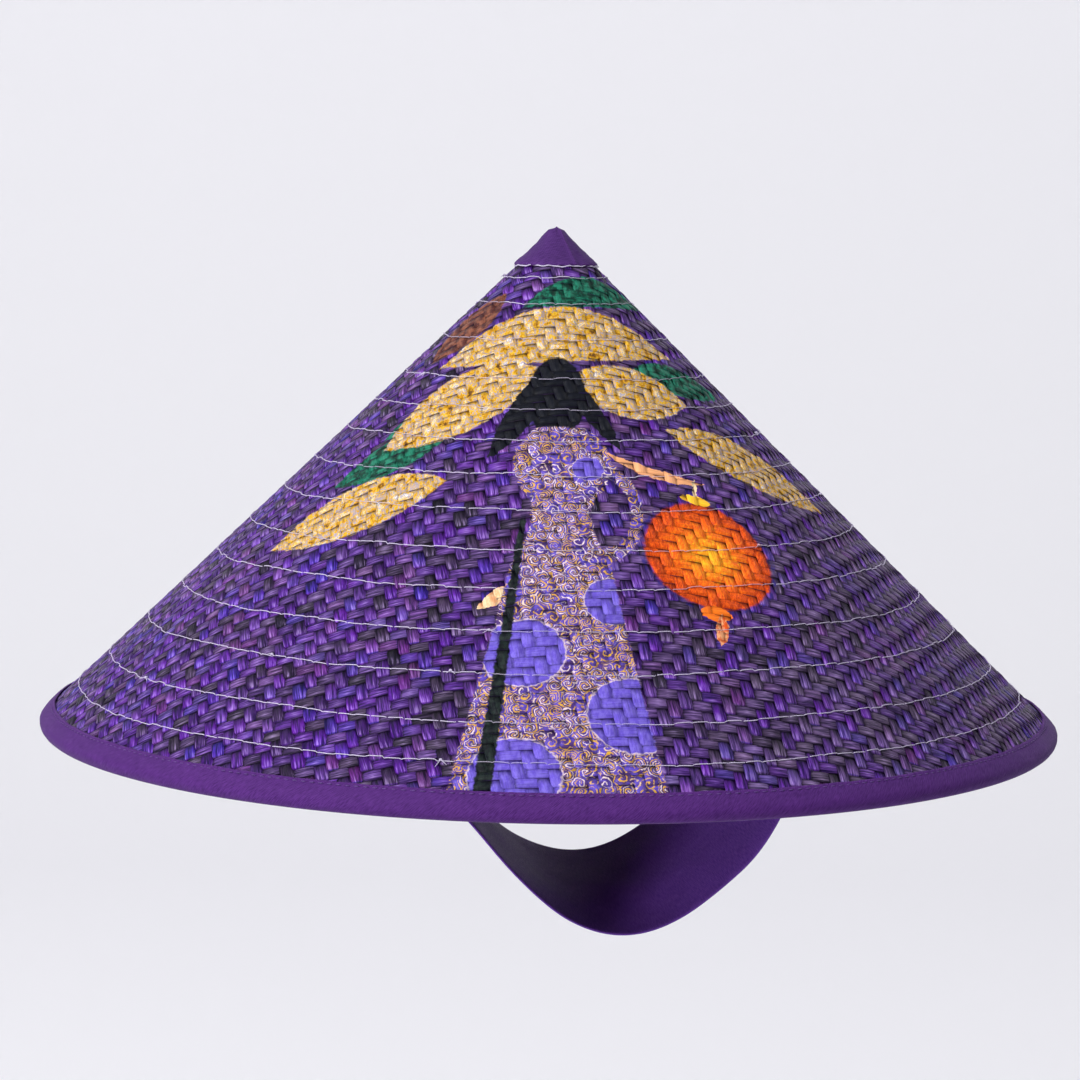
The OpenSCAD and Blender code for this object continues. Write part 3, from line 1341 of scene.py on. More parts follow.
@dataclass
class Wardrobe:
    """Every material of the hat, made once."""

    effects: Effects
    made: dict[str, bpy.types.Material] = field(default_factory=dict)

    def dress(self) -> None:
        """Builds the materials."""
        finishes = (
            StripFinish("strip_outside", painted=True),
            StripFinish("strip_inside", painted=False, shade=0.8, roughness=0.55),
            ThreadFinish("sewing_thread", (0.66, 0.60, 0.78), painted=True),
            ThreadFinish("purple_thread", (0.10, 0.03, 0.22)),
            ThreadFinish("tie_cord", (0.06, 0.02, 0.13)),
            ClothFinish("binding_cloth", (0.046, 0.008, 0.104), (0.090, 0.021, 0.188)),
            ClothFinish("cap_cloth", (0.040, 0.009, 0.092), (0.078, 0.024, 0.160), turn=0.3),
            ClothFinish(
                "strap_cloth", (0.100, 0.034, 0.260), (0.160, 0.060, 0.370), roughness=0.5, turn=0.0,
                pitch=0.5, gloss=0.04, sheen=0.0,
            ),
            BambooFinish("bamboo"),
        )
        for finish in finishes:
            self.made[finish.name] = finish.material(self.effects)

    def __getitem__(self, name: str) -> bpy.types.Material:
        """Gives a material by name."""
        return self.made[name]


# ---------------------------------------------------------------- the woven mat


class Family(Enum):
    """The two sets of strips in the weave."""

    ROW = "row"
    COLUMN = "column"


@dataclass
class StripRun:
    """One unbroken stretch of a strip on the flat mat, in metres.

    Attributes:
        middle: Place of its middle line across the strips.
        half: Half its width.
        along: Stations along it.
        lift: Height at each station, -1 under to 1 over.
        tilt: Sideways tilt at each station.
        jog: Sideways shift at each station.
        light: Painted shade: how much light reaches each station between its neighbours, multiplied into its
            colour.
        shade: Each station's own share of the dye's variation.
        seed: Its own random number.
    """

    middle: float
    half: float
    along: list[float]
    lift: list[float]
    tilt: list[float]
    shade: list[float]
    jog: list[float]
    light: list[float]
    seed: float


@dataclass
class WovenMat:
    """The cone's mat: flat strips, two over and two under, wrapped round and lapped down the back."""

    pitch: float = 3.9 * MM
    uneven: float = 0.10
    half_range: tuple[float, float] = (0.95, 1.02)
    rise_range: tuple[float, float] = (0.85, 1.0)
    bluntness: float = 0.45
    lean: float = math.radians(5.5)
    wander: float = 0.9 * MM
    ripple: float = 0.5 * MM
    thick: float = 0.32 * MM
    swing: float = 0.36 * MM
    middle_n: float = -0.80 * MM
    crown: float = 0.15 * MM
    row_widths: tuple[float, float] = (0.97, 1.07)
    column_widths: tuple[float, float] = (0.90, 1.34)
    shingle: float = 0.26 * MM
    jog: float = 0.75 * MM
    tip_hole: float = 7 * MM
    rim_hide: float = 2.9 * MM
    lap: float = 9 * MM
    lap_start: float = 6 * MM
    lap_lift: float = 1.35 * MM
    pressed: float = 0.45
    press_end: float = 20 * MM
    press_fade: float = 14 * MM
    rock: float = 0.07 * MM
    stations: tuple[float, ...] = (0.0, 0.15, 0.5, 0.85)
    # Painted shade at the stations: float ends dark, floats that pass under darker still.
    row_light: tuple[float, ...] = (0.08, 0.78, 1.10, 0.80)
    column_light: tuple[float, ...] = (0.04, 0.36, 0.88, 1.30)
    under_light: float = 0.22
    bands: int = 3
    seed: int = 41

    def prepare(self) -> None:
        """Works out the strips' edges, which are a little uneven, and the mat's extent."""
        self.end = edge_distance("woven_shell") - self.rim_hide
        self.half_angle = math.pi * math.cos(CONE.slope)
        rng = random.Random(self.seed)
        count = int(self.end / self.pitch) + 4
        self.edges: dict[Family, dict[int, float]] = {}
        for family in Family:
            steps = [self.pitch * (1 + rng.uniform(-self.uneven, self.uneven)) for _ in range(2 * count)]
            total = np.concatenate([[0.0], np.cumsum(steps)])
            total = (total - total[count]) * (self.pitch * 2 * count / total[-1])
            self.edges[family] = {k - count: float(v) for k, v in enumerate(total)}
        self.count = count

    def flat(self, a: np.ndarray, b: np.ndarray) -> tuple[np.ndarray, np.ndarray]:
        """Turns weave coordinates into flat places, with the slow wander of hand weaving.

        Args:
            a: Place across the columns.
            b: Place across the rows.

        Returns:
            x and y on the flat mat.
        """
        broad_a = self.wander * np.sin(b / 0.031 + 1.3) * np.sin(a / 0.047)
        broad_b = self.wander * np.sin(a / 0.037 + 0.4) * np.sin(b / 0.053 + 2.0)
        short_a = self.ripple * np.sin(b / 0.013 + a / 0.09)
        short_b = self.ripple * np.sin(a / 0.012 - b / 0.08)
        a, b = a + (broad_a + short_a), b + (broad_b + short_b)
        cos, sin = math.cos(self.lean), math.sin(self.lean)
        return a * cos + b * sin, b * cos - a * sin

    def inside(self, family: Family, middle: float, along: np.ndarray) -> np.ndarray:
        """Tells which stations of a strip lie on the mat.

        Args:
            family: Which way the strip runs.
            middle: Place of its middle line.
            along: Its stations.

        Returns:
            True at each station on the mat.
        """
        across = np.full_like(along, middle)
        x, y = self.flat(along, across) if family is Family.ROW else self.flat(across, along)
        s, angle = CONE.wrap(x, y)
        lap = np.minimum(self.lap / np.maximum(s, MM), 0.6)
        on_face = (s > self.tip_hole) & (s < self.end)
        return on_face & (angle > -self.half_angle) & (angle < self.half_angle + lap)

    def runs(self, family: Family) -> list[StripRun]:
        """Cuts every strip of one family into its unbroken stretches.

        Args:
            family: The family.

        Returns:
            The stretches, from the first strip to the last.
        """
        other = self.edges[Family.COLUMN if family is Family.ROW else Family.ROW]
        own = self.edges[family]
        rng = random.Random(self.seed + (1 if family is Family.ROW else 2))
        found = []
        for k in range(-self.count, self.count):
            middle = (own[k] + own[k + 1]) / 2
            half = (own[k + 1] - own[k]) / 2 * rng.uniform(*self.half_range)
            seed = rng.random()
            along, lift, tilt, shade, jog, light = [], [], [], [], [], []
            # Painted shade for each station, darker at a float's ends and under the crossing strips.
            lit = self.row_light if family is Family.ROW else self.column_light
            for m in range(-self.count, self.count - 2):
                if (k + m) % 2:
                    continue
                under = ((k + m) % 4 == 0) == (family is Family.ROW)
                lean = rng.uniform(-1, 1)
                strength = rng.uniform(*self.rise_range)
                dyed = rng.random()
                for share, glow in zip(self.stations, lit):
                    light.append(glow * (self.under_light if under else 1.0))
                    along.append(other[m] + (other[m + 2] - other[m]) * share)
                    rise = math.sin(math.pi * share) ** self.bluntness * strength
                    lift.append(-rise if under else rise)
                    tilt.append(lean * rise)
                    shade.append(dyed)
                    jog.append((share - 0.5) * (-self.jog if under else self.jog))
            series = (along, lift, tilt, shade, jog, light)
            on_mat = self.inside(family, middle, np.array(along))
            start = None
            for index in range(len(along) + 1):
                here = index < len(along) and on_mat[index]
                if here and start is None:
                    start = index
                if not here and start is not None:
                    if index - start > 2:
                        part = slice(start, index)
                        found.append(StripRun(middle, half, *(values[part] for values in series), seed))
                    start = None
        return found

    def lay_out(self, bm: bmesh.types.BMesh, runs: list[StripRun]) -> dict[str, np.ndarray]:
        """Adds a flat grid, three points wide, for each stretch of strip.

        Args:
            bm: Receives the grids.
            runs: The stretches of strip.

        Returns:
            The stretches' values at every point, by name.
        """
        stations = ("along", "lift", "tilt", "shade", "jog", "light")
        whole = ("middle", "half", "seed")
        parts: dict[str, list[np.ndarray]] = {key: [] for key in ("across", *stations, *whole)}
        for run in runs:
            count = len(run.along)
            bmesh.ops.create_grid(bm, x_segments=count - 1, y_segments=2, size=1.0)
            parts["across"].append(np.repeat([-1.0, 0.0, 1.0], count))
            for key in stations:
                parts[key].append(np.tile(getattr(run, key), 3))
            for key in whole:
                parts[key].append(np.full(3 * count, getattr(run, key)))
        return {key: np.concatenate(values) for key, values in parts.items()}

    def dyes(self, rows: bool, data: dict[str, np.ndarray], x: np.ndarray) -> dict[str, np.ndarray]:
        """Works out the values that the strips' finish reads.

        Args:
            rows: Whether the strips are rows.
            data: The stretches' values at every point.
            x: Flat place to the right of the front's middle line.

        Returns:
            The values at every point, by name.
        """
        seed, shade, along = data["seed"], data["shade"], data["along"]
        slow = np.sin(along / 0.021 + seed * 40) * 0.5 + np.sin(along / 0.0083 + seed * 97) * 0.5
        tone = np.clip(0.45 * seed + 0.55 * shade + 0.10 * slow, 0, 1)
        # Painted sheen: rows greyer, and the right side greyer still, as glossy reflection would make them;
        # the fleck is the strips' own uneven dye.
        side = np.clip((x + 0.03) / 0.15, 0, 1)
        fleck = np.sin(seed * 531.0 + shade * 7.0)
        worn = (0.30 if rows else 0.04) + 0.30 * side + 0.30 * fleck * (0.6 + 0.4 * side)
        kept = {key: data[key] for key in ("lift", "light", "seed")}
        return {"tone": tone, "grey": np.clip(worn, 0, 0.9), **kept}

    def build_band(
        self, family: Family, runs: list[StripRun], name: str, wardrobe: Wardrobe
    ) -> bpy.types.Object:
        """Builds one band of strips as a piece.

        Args:
            family: Which way the strips run.
            runs: The stretches of strip in this band.
            name: The piece's name.
            wardrobe: The materials.

        Returns:
            The piece.
        """
        bm = bmesh.new()
        data = self.lay_out(bm, runs)
        if len(bm.verts) != len(data["along"]):
            raise ValueError(f"{name}: {len(bm.verts)} points for {len(data['along'])} stations")
        obj = piece_from(bm, name, [wardrobe["strip_outside"], wardrobe["strip_inside"]])
        rows = family is Family.ROW
        over = np.clip(data["lift"] + 0.35, 0, 1)
        narrow, wide = self.row_widths if rows else self.column_widths
        sideways = data["middle"] + data["across"] * data["half"] * (narrow + (wide - narrow) * over)
        if rows:
            x, y = self.flat(data["along"], sideways)
        else:
            x, y = self.flat(sideways + data["jog"], data["along"])
        s, angle = CONE.wrap(x, y)
        past = np.clip((s * (angle - self.half_angle) + self.lap_start) / self.lap_start, 0, 1)
        n = self.middle_n + self.swing * data["lift"] + self.crown * (0.6 - np.abs(data["across"]))
        n = n + self.rock * data["tilt"] * data["across"]
        n = n - (0.0 if rows else self.shingle) * over * data["across"]
        n = n + self.lap_lift * past * past * (3 - 2 * past) * self.spread(s)
        move_points(obj.data, CONE.at(s, n, CONE.turn_of(angle)))
        point_outwards(obj.data, Vector((0, 0, -0.3)))
        write_uv(obj.data, "flat", np.stack([x, y], axis=-1) / MM)
        write_uv(obj.data, "strip", np.stack([data["across"], data["along"] / MM], axis=-1))
        for label, values in self.dyes(rows, data, x).items():
            write_value(obj.data, label, values)
        add_modifier(
            obj, "SOLIDIFY", thickness=self.thick, offset=0.0, material_offset=1, material_offset_rim=0
        )
        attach(obj, HAT_BODY)
        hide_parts("woven_shell")
        return obj

    def build(self, wardrobe: Wardrobe) -> None:
        """Builds the whole mat in bands of strips, the rows first.

        Args:
            wardrobe: The materials.
        """
        self.prepare()
        for family in Family:
            runs = self.runs(family)
            size = math.ceil(len(runs) / self.bands)
            for band in range(self.bands):
                part = runs[band * size : (band + 1) * size]
                piece = self.build_band(family, part, f"mat_{family.value}s_{band + 1}", wardrobe)
                log.info("%s: %d strips, %d faces", piece.name, len(part), len(piece.data.polygons))

    def lap_at(self, s: Number, turn: Number) -> Number:
        """Gives how far the lap at the back lifts what lies on the mat.

        Args:
            s: Distance down the face from the tip.
            turn: Turn from the front.

        Returns:
            The lift in metres.
        """
        turn = np.mod(turn, math.tau)
        past = (turn - math.pi) * math.cos(CONE.slope) * s
        up = np.clip((past + self.lap_start) / self.lap_start, 0, 1)
        down = np.clip((self.lap + 1.5 * MM - past) / (3 * MM), 0, 1)
        return self.lap_lift * up * down * self.spread(s)

    def spread(self, s: Number) -> Number:
        """Gives the share of the lap's height left towards the tip, where the cap presses the lap down."""
        return self.pressed + (1 - self.pressed) * np.clip((s - self.press_end) / self.press_fade, 0, 1)


# ---------------------------------------------------------------- threads


@dataclass
class SewingThreads:
    """The white threads sewn round the hat, one over each hoop, with a few knots and loose ends."""

    mat: WovenMat
    radius: float = 0.18 * MM
    sides: int = 6
    stitch: float = 6.2 * MM
    stray: float = 0.30 * MM
    drift: float = 0.55 * MM
    sag_share: float = 0.6
    dip: float = 0.42 * MM
    dip_reach: float = 0.55 * MM
    wave: float = 0.10 * MM
    rest_n: float = -0.06 * MM
    knots_each: float = 1.6
    knot_radius: float = 0.62 * MM
    knot_n: float = 0.32 * MM
    flatten: float = 0.8
    tail_mm: tuple[float, float] = (1.6, 3.6)
    bar_radius: float = 0.26 * MM
    bar_length: float = 4.6 * MM
    bar_n: float = 1.62 * MM
    seed: int = 7

    def ring(self, node: str, rng: random.Random, wardrobe: Wardrobe) -> bpy.types.Object:
        """Builds one thread, whose stitches meet at small steps and dips.

        Args:
            node: The thread ring's node.
            rng: Random numbers.
            wardrobe: The materials.

        Returns:
            The piece.
        """
        s_0 = ring_place(node)[0]
        r_0 = s_0 * math.cos(CONE.slope)
        count = max(5, round(math.tau * r_0 / self.stitch))
        steps = count * 8
        bm = bmesh.new()
        spin_profile(bm, CONE.tube(s_0, 0.0, self.radius, self.sides), steps, closed=True)
        obj = piece_from(bm, f"sewing_{node}", [wardrobe["sewing_thread"]])
        s, n, turn = CONE.read(coordinates(obj.data))
        share = np.mod(turn / math.tau, 1.0) * count
        index = np.floor(share).astype(int) % count
        part = share - np.floor(share)
        starts, strays, sags = (np.array([rng.uniform(-1, 1) for _ in range(count)]) for _ in range(3))
        starts = starts * self.stray
        ends = starts + strays * self.stray
        sag = sags * self.stray * self.sag_share
        here = starts[index] * (1 - part) + ends[index] * part + sag[index] * np.sin(np.pi * part)
        nxt = starts[(index + 1) % count]
        join = np.clip((part - 0.94) / 0.06, 0, 1)
        wander = here * (1 - join) + nxt * join
        phase = rng.uniform(0, math.tau)
        wander = wander + self.drift * np.sin(3 * turn + phase) * np.sin(7 * turn + 2 * phase)
        dip = self.dip * bell(np.minimum(part, 1 - part) * self.stitch, self.dip_reach)
        lay = self.rest_n + self.wave * np.sin(turn * r_0 / self.mat.pitch) - dip
        around = np.arctan2(n, s - s_0) / math.tau
        move_points(obj.data, CONE.at(s + wander, n + lay + self.mat.lap_at(s, turn), turn))
        write_thread_maps(obj.data, np.stack([around, turn * r_0 / MM], axis=-1))
        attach(obj, HAT_BODY)
        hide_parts(node)
        return obj

    def knot(self, bm: bmesh.types.BMesh, s: float, turn: float, rng: random.Random) -> None:
        """Adds a knot with two short loose ends to a mesh.

        Args:
            bm: Receives the knot.
            s: Distance down the face from the tip.
            turn: Turn from the front.
            rng: Random numbers.
        """
        centre = Vector(CONE.at(s, self.knot_n + float(self.mat.lap_at(s, turn)), turn))
        ball = bmesh.ops.create_icosphere(bm, subdivisions=2, radius=self.knot_radius)["verts"]
        for vert in ball:
            lump = noise.noise(vert.co / (0.35 * MM) + Vector((turn * 9, s * 90, 0)))
            vert.co *= 1 + 0.25 * lump
            vert.co.z *= self.flatten
        bmesh.ops.translate(bm, verts=ball, vec=centre)
        away = Vector(CONE.at(s, 10 * MM, turn)) - centre
        down = Vector(CONE.at(s + 10 * MM, 0.3 * MM, turn)) - centre
        side = away.cross(down).normalized() * 10 * MM
        for sign in (-1, 1):
            way = (down * rng.uniform(0.1, 0.9) + side * sign * rng.uniform(0.3, 1.0)).normalized()
            length = rng.uniform(*self.tail_mm) * MM
            tail = bmesh.ops.create_cone(
                bm, cap_ends=True, segments=5, radius1=0.2 * MM, radius2=0.1 * MM, depth=length
            )["verts"]
            place = centre + way * length * 0.55 + away.normalized() * 0.15 * MM
            place_part(bm, tail, way.to_track_quat("Z", "Y").to_matrix(), place)

    def knots(self, rng: random.Random, wardrobe: Wardrobe) -> bpy.types.Object:
        """Builds all the knots as one piece.

        Args:
            rng: Random numbers.
            wardrobe: The materials.

        Returns:
            The piece.
        """
        bm = bmesh.new()
        for node in RING_NODES:
            s = ring_place(node)[0]
            for _ in range(max(1, round(self.knots_each * s / 0.15))):
                self.knot(bm, s + rng.uniform(-0.3, 0.3) * MM, rng.uniform(-math.pi, math.pi), rng)
        obj = piece_from(bm, "sewing_knots", [wardrobe["sewing_thread"]])
        write_thread_maps(obj.data, coordinates(obj.data)[:, :2] / MM)
        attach(obj, HAT_BODY)
        return obj

    def seam(self, rng: random.Random, wardrobe: Wardrobe) -> bpy.types.Object:
        """Builds the stitches that hold the lap down at the back, where the CAD's stitches are.

        Args:
            rng: Random numbers.
            wardrobe: The materials.

        Returns:
            The piece.
        """
        bm = bmesh.new()
        marks = [ring_place(node)[0] for node in RING_NODES]
        for low, high in zip(marks, marks[1:]):
            for share in (0.3, 0.7):
                s = low + (high - low) * share
                bar = bmesh.ops.create_cone(
                    bm,
                    cap_ends=True,
                    segments=6,
                    radius1=self.bar_radius,
                    radius2=self.bar_radius,
                    depth=self.bar_length,
                )["verts"]
                for vert in bar:
                    vert.co.x += 0.2 * MM * math.sin(vert.co.z * 400)
                aside = self.mat.lap / 2 + rng.uniform(-0.6, 0.6) * MM
                turn = math.pi + aside / (s * math.cos(CONE.slope))
                a = Vector(CONE.at(s - 2 * MM, self.bar_n, turn))
                b = Vector(CONE.at(s + 2 * MM, self.bar_n, turn + rng.uniform(-0.004, 0.004)))
                place_part(bm, bar, (b - a).to_track_quat("Z", "Y").to_matrix(), (a + b) / 2)
        obj = piece_from(bm, "back_seam_stitches", [wardrobe["sewing_thread"]])
        write_thread_maps(obj.data, coordinates(obj.data)[:, :2] / MM)
        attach(obj, HAT_BODY)
        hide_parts("seam_thread")
        return obj

    def build(self, wardrobe: Wardrobe) -> None:
        """Builds the threads, their knots and the back seam.

        Args:
            wardrobe: The materials.
        """
        rng = random.Random(self.seed)
        for node in RING_NODES:
            piece = self.ring(node, rng, wardrobe)
            log.info("%s: %d faces", piece.name, len(piece.data.polygons))
        self.knots(rng, wardrobe)
        self.seam(rng, wardrobe)


# ---------------------------------------------------------------- tip cap


@dataclass
class TipCap:
    """The cloth cone over the tip: a turned hem, a lapped seam down one side and its white stitch line."""

    mat: WovenMat
    steps: int = 96
    rows: int = 14
    cloth: float = 0.75 * MM
    hem: float = 3.2 * MM
    hem_rise: float = 0.25 * MM
    nose: float = 3.2 * MM
    point_r: float = 0.2 * MM
    wave: float = 0.22 * MM
    seam_rise: float = 0.42 * MM
    seam_turn: float = math.radians(28)
    thread_radius: float = 0.27 * MM
    thread_n: float = 0.3 * MM
    thread_sides: int = 6
    thread_steps: int = 144
    thread_wound: float = 15.5

    def section(self) -> list[tuple[float, float]]:
        """Gives the cap's outer section from its tip down to its rolled edge and back under it.

        Returns:
            Radius and height of each point.
        """
        self.edge = edge_distance("tip_cap")
        self.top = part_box("tip_cap")[1][2]
        points = [(self.point_r, self.top - 0.15 * MM), (0.8 * MM, self.top - 0.6 * MM)]
        for k in range(self.rows + 1):
            s = self.nose + (self.edge - self.nose - 0.4 * MM) * k / self.rows
            n = self.cloth + (self.hem_rise if self.edge - s < self.hem else 0.0)
            points.append(CONE.section(s, n))
        rolled = ((0.0, 0.75), (0.15, 0.4), (0.0, 0.12), (-2.0, 0.06), (-5.0, 0.06))
        points += [CONE.section(self.edge + past * MM, n * MM) for past, n in rolled]
        return points

    def build(self, wardrobe: Wardrobe) -> None:
        """Builds the cap and its stitch line.

        Args:
            wardrobe: The materials.
        """
        bm = bmesh.new()
        spin_profile(bm, self.section(), self.steps, closed=False)
        ends = [v for v in bm.verts if v.co.xy.length < 1.5 * self.point_r]
        bmesh.ops.pointmerge(bm, verts=ends, merge_co=(0, 0, self.top))
        obj = piece_from(bm, "cloth_tip_cap", [wardrobe["cap_cloth"]])
        points = coordinates(obj.data)
        s, n, turn = CONE.read(points)
        outer = n > 0.5 * MM
        off = np.abs(np.mod(turn - self.seam_turn + math.pi, math.tau) - math.pi) * s * math.cos(CONE.slope)
        ridge = self.seam_rise * bell(off, 0.9 * MM) * (s > 2 * MM) * outer
        uneven = np.array([noise.noise(Vector(p) * 260) for p in points])
        wave = uneven * self.wave * np.clip(s / (6 * MM), 0, 1)
        lapped = self.mat.lap_at(s, turn) * (s > 3 * MM)
        move_points(obj.data, CONE.at(s, n + ridge + wave * outer + lapped, turn))
        point_outwards(obj.data, Vector((0, 0, self.top - 0.03)))
        wear = np.clip(bell(self.edge - s, 0.9 * MM) + bell(off, 0.6 * MM) + bell(s, 1.4 * MM), 0, 1)
        write_value(obj.data, "wear", wear * (0.6 + 0.4 * np.sin(turn * 31)))
        write_uv(obj.data, "cloth", CONE.flat_mm(coordinates(obj.data)))
        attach(obj, HAT_BODY)
        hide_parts("tip_cap")
        self.stitches(wardrobe)
        log.info("tip cap: %d faces", len(obj.data.polygons))

    def stitches(self, wardrobe: Wardrobe) -> None:
        """Builds the white running stitch just under the cap's edge.

        Args:
            wardrobe: The materials.
        """
        bm = bmesh.new()
        s_0 = self.edge + self.thread_radius
        profile = CONE.tube(s_0, self.thread_n, self.thread_radius, self.thread_sides)
        spin_profile(bm, profile, self.thread_steps, closed=True)
        obj = piece_from(bm, "tip_cap_stitching", [wardrobe["sewing_thread"]])
        s, n, turn = CONE.read(coordinates(obj.data))
        around = np.arctan2(n - self.thread_n, s - s_0) / math.tau
        wander = 0.28 * MM * np.sin(turn * 13) + 0.2 * MM * np.sin(turn * 5 + 1)
        rise = 0.14 * MM * np.sin(turn * 26)
        move_points(obj.data, CONE.at(s + wander, n + rise + self.mat.lap_at(s, turn), turn))
        write_thread_maps(obj.data, np.stack([around, turn * self.thread_wound], axis=-1))
        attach(obj, HAT_BODY)
        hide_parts("tip_cap_thread")


# ---------------------------------------------------------------- rim


@dataclass
class RimBinding:
    """The cotton tape folded round the mat's edge and the rim hoop, with its running stitch."""

    steps: int = 720
    cloth: float = 0.8 * MM
    round_rows: int = 10
    stitch_pitch: float = 3.3 * MM
    stitch_length: float = 2.3 * MM
    stitch_radius: float = 0.26 * MM
    pucker: float = 0.16 * MM
    hem: float = 1.3 * MM
    lip: float = 4.2 * MM
    slack: float = 0.30 * MM
    ragged: float = 0.35 * MM

    def prepare(self) -> None:
        """Reads the binding's place from the rim hoop and the stitch line."""
        self.round_s, hoop_n, hoop_r = ring_place("rim_hoop")
        self.stitch_s, stitch_n, stitch_r = ring_place("binding_thread")
        self.out_n = stitch_n - stitch_r
        self.top_s = self.stitch_s - self.hem
        self.mid_n = (self.out_n + hoop_n - hoop_r - self.cloth) / 2
        self.half = self.out_n - self.mid_n

    def section(self) -> list[tuple[float, float]]:
        """Gives the tape's closed section: down the outside, round the edge and up the inside.

        Returns:
            Radius and height of each point.
        """
        inner_n = self.mid_n - self.half
        top, out = self.top_s, self.out_n
        outer = [
            (top, 0.15 * MM), (top - 0.25 * MM, 0.45 * MM), (top, out - 0.1 * MM), (top + 0.8 * MM, out)
        ]
        outer += [(self.stitch_s, out - 0.12 * MM), (self.stitch_s + 0.8 * MM, out + 0.05 * MM)]
        outer += [(top + share * (self.round_s - top), out + 0.08 * MM) for share in (0.45, 0.75)]
        turns = [math.pi / 2 - math.pi * k / self.round_rows for k in range(self.round_rows + 1)]
        outer += [
            (self.round_s + self.half * math.cos(a), self.mid_n + self.half * math.sin(a)) for a in turns
        ]
        lip = self.round_s - self.lip
        outer += [(lip + 2 * MM, inner_n + 0.15 * MM), (lip, -2.5 * MM)]
        outer += [(top + 0.3 * MM, -2.45 * MM), (top, -1.9 * MM)]
        back = [(lip + 0.5 * MM, -1.75 * MM), (lip + 2.4 * MM, inner_n + self.cloth)]
        hollow = self.half - self.cloth
        back += [
            (self.round_s + hollow * math.cos(a), self.mid_n + hollow * math.sin(a)) for a in reversed(turns)
        ]
        return [CONE.section(s, n) for s, n in outer + back]

    def build(self, wardrobe: Wardrobe) -> None:
        """Builds the tape and its stitches.

        Args:
            wardrobe: The materials.
        """
        self.prepare()
        bm = bmesh.new()
        section = self.section()
        spin_profile(bm, section, self.steps, closed=True)
        obj = piece_from(bm, "rim_binding_tape", [wardrobe["binding_cloth"]])
        points = coordinates(obj.data)
        s, n, turn = CONE.read(points)
        rim_r = self.round_s * math.cos(CONE.slope)
        near = bell(s - self.stitch_s, 1.6 * MM) * (n > 0)
        ripple = np.sin(turn * rim_r / self.stitch_pitch * math.tau) * near * self.pucker
        slow = wobble((math.sin(t) * 9, math.cos(t) * 9, 0.3) for t in turn) * self.slack
        ragged = wobble((math.sin(t) * 31, math.cos(t) * 31, 5.0) for t in turn) * self.ragged
        edge = ragged * np.clip((self.stitch_s + MM - s) / (2 * MM), 0, 1) * (n > -MM)
        move_points(obj.data, CONE.at(s + edge, n + ripple + slow * (n > 0), turn))
        run = [0.0]
        for (r_0, z_0), (r_1, z_1) in zip(section, section[1:]):
            run.append(run[-1] + math.hypot(r_1 - r_0, z_1 - z_0))
        table = np.array(section)
        r = np.hypot(points[:, 0], points[:, 1])
        gap = (r[:, None] - table[None, :, 0]) ** 2 + (points[:, 2][:, None] - table[None, :, 1]) ** 2
        down = np.array(run)[np.argmin(gap, axis=1)]
        write_uv(obj.data, "cloth", np.stack([turn * rim_r, down], axis=-1) / MM)
        wear = bell(s - self.top_s, 0.7 * MM) * (n > 0.2 * MM) * (0.5 + 0.5 * np.sin(turn * 57))
        write_value(obj.data, "wear", wear * 0.5)
        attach(obj, HAT_BODY)
        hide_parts("rim_binding")
        self.running_stitch(wardrobe, rim_r)
        log.info("rim binding: %d faces", len(obj.data.polygons))

    def running_stitch(self, wardrobe: Wardrobe, rim_r: float) -> None:
        """Builds the purple stitches along the tape's upper edge.

        Args:
            wardrobe: The materials.
            rim_r: Radius of the rim's middle.
        """
        bm = bmesh.new()
        ring_r = self.stitch_s * math.cos(CONE.slope)
        count = int(math.tau * ring_r / self.stitch_pitch)
        for k in range(count):
            turn = math.tau * (k + 0.5) / count
            bead = bmesh.ops.create_icosphere(bm, subdivisions=1, radius=1.0)["verts"]
            bmesh.ops.scale(
                bm, verts=bead, vec=(self.stitch_length / 2, self.stitch_radius, self.stitch_radius)
            )
            centre = Vector(CONE.at(self.stitch_s, self.out_n + 0.02 * MM, turn))
            out = Vector(CONE.at(self.stitch_s, self.out_n + 1 * MM, turn)) - centre
            along = Vector((math.cos(turn), math.sin(turn), 0.0))
            axes = Matrix((along, out.normalized().cross(along), out.normalized())).transposed()
            place_part(bm, bead, axes, centre)
        obj = piece_from(bm, "binding_running_stitch", [wardrobe["purple_thread"]])
        points = coordinates(obj.data)
        _, _, turn = CONE.read(points)
        write_uv(obj.data, "thread", np.stack([points[:, 2] / MM, turn * rim_r / MM], axis=-1))
        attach(obj, HAT_BODY)
        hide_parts("binding_thread")


# ---------------------------------------------------------------- chin strap


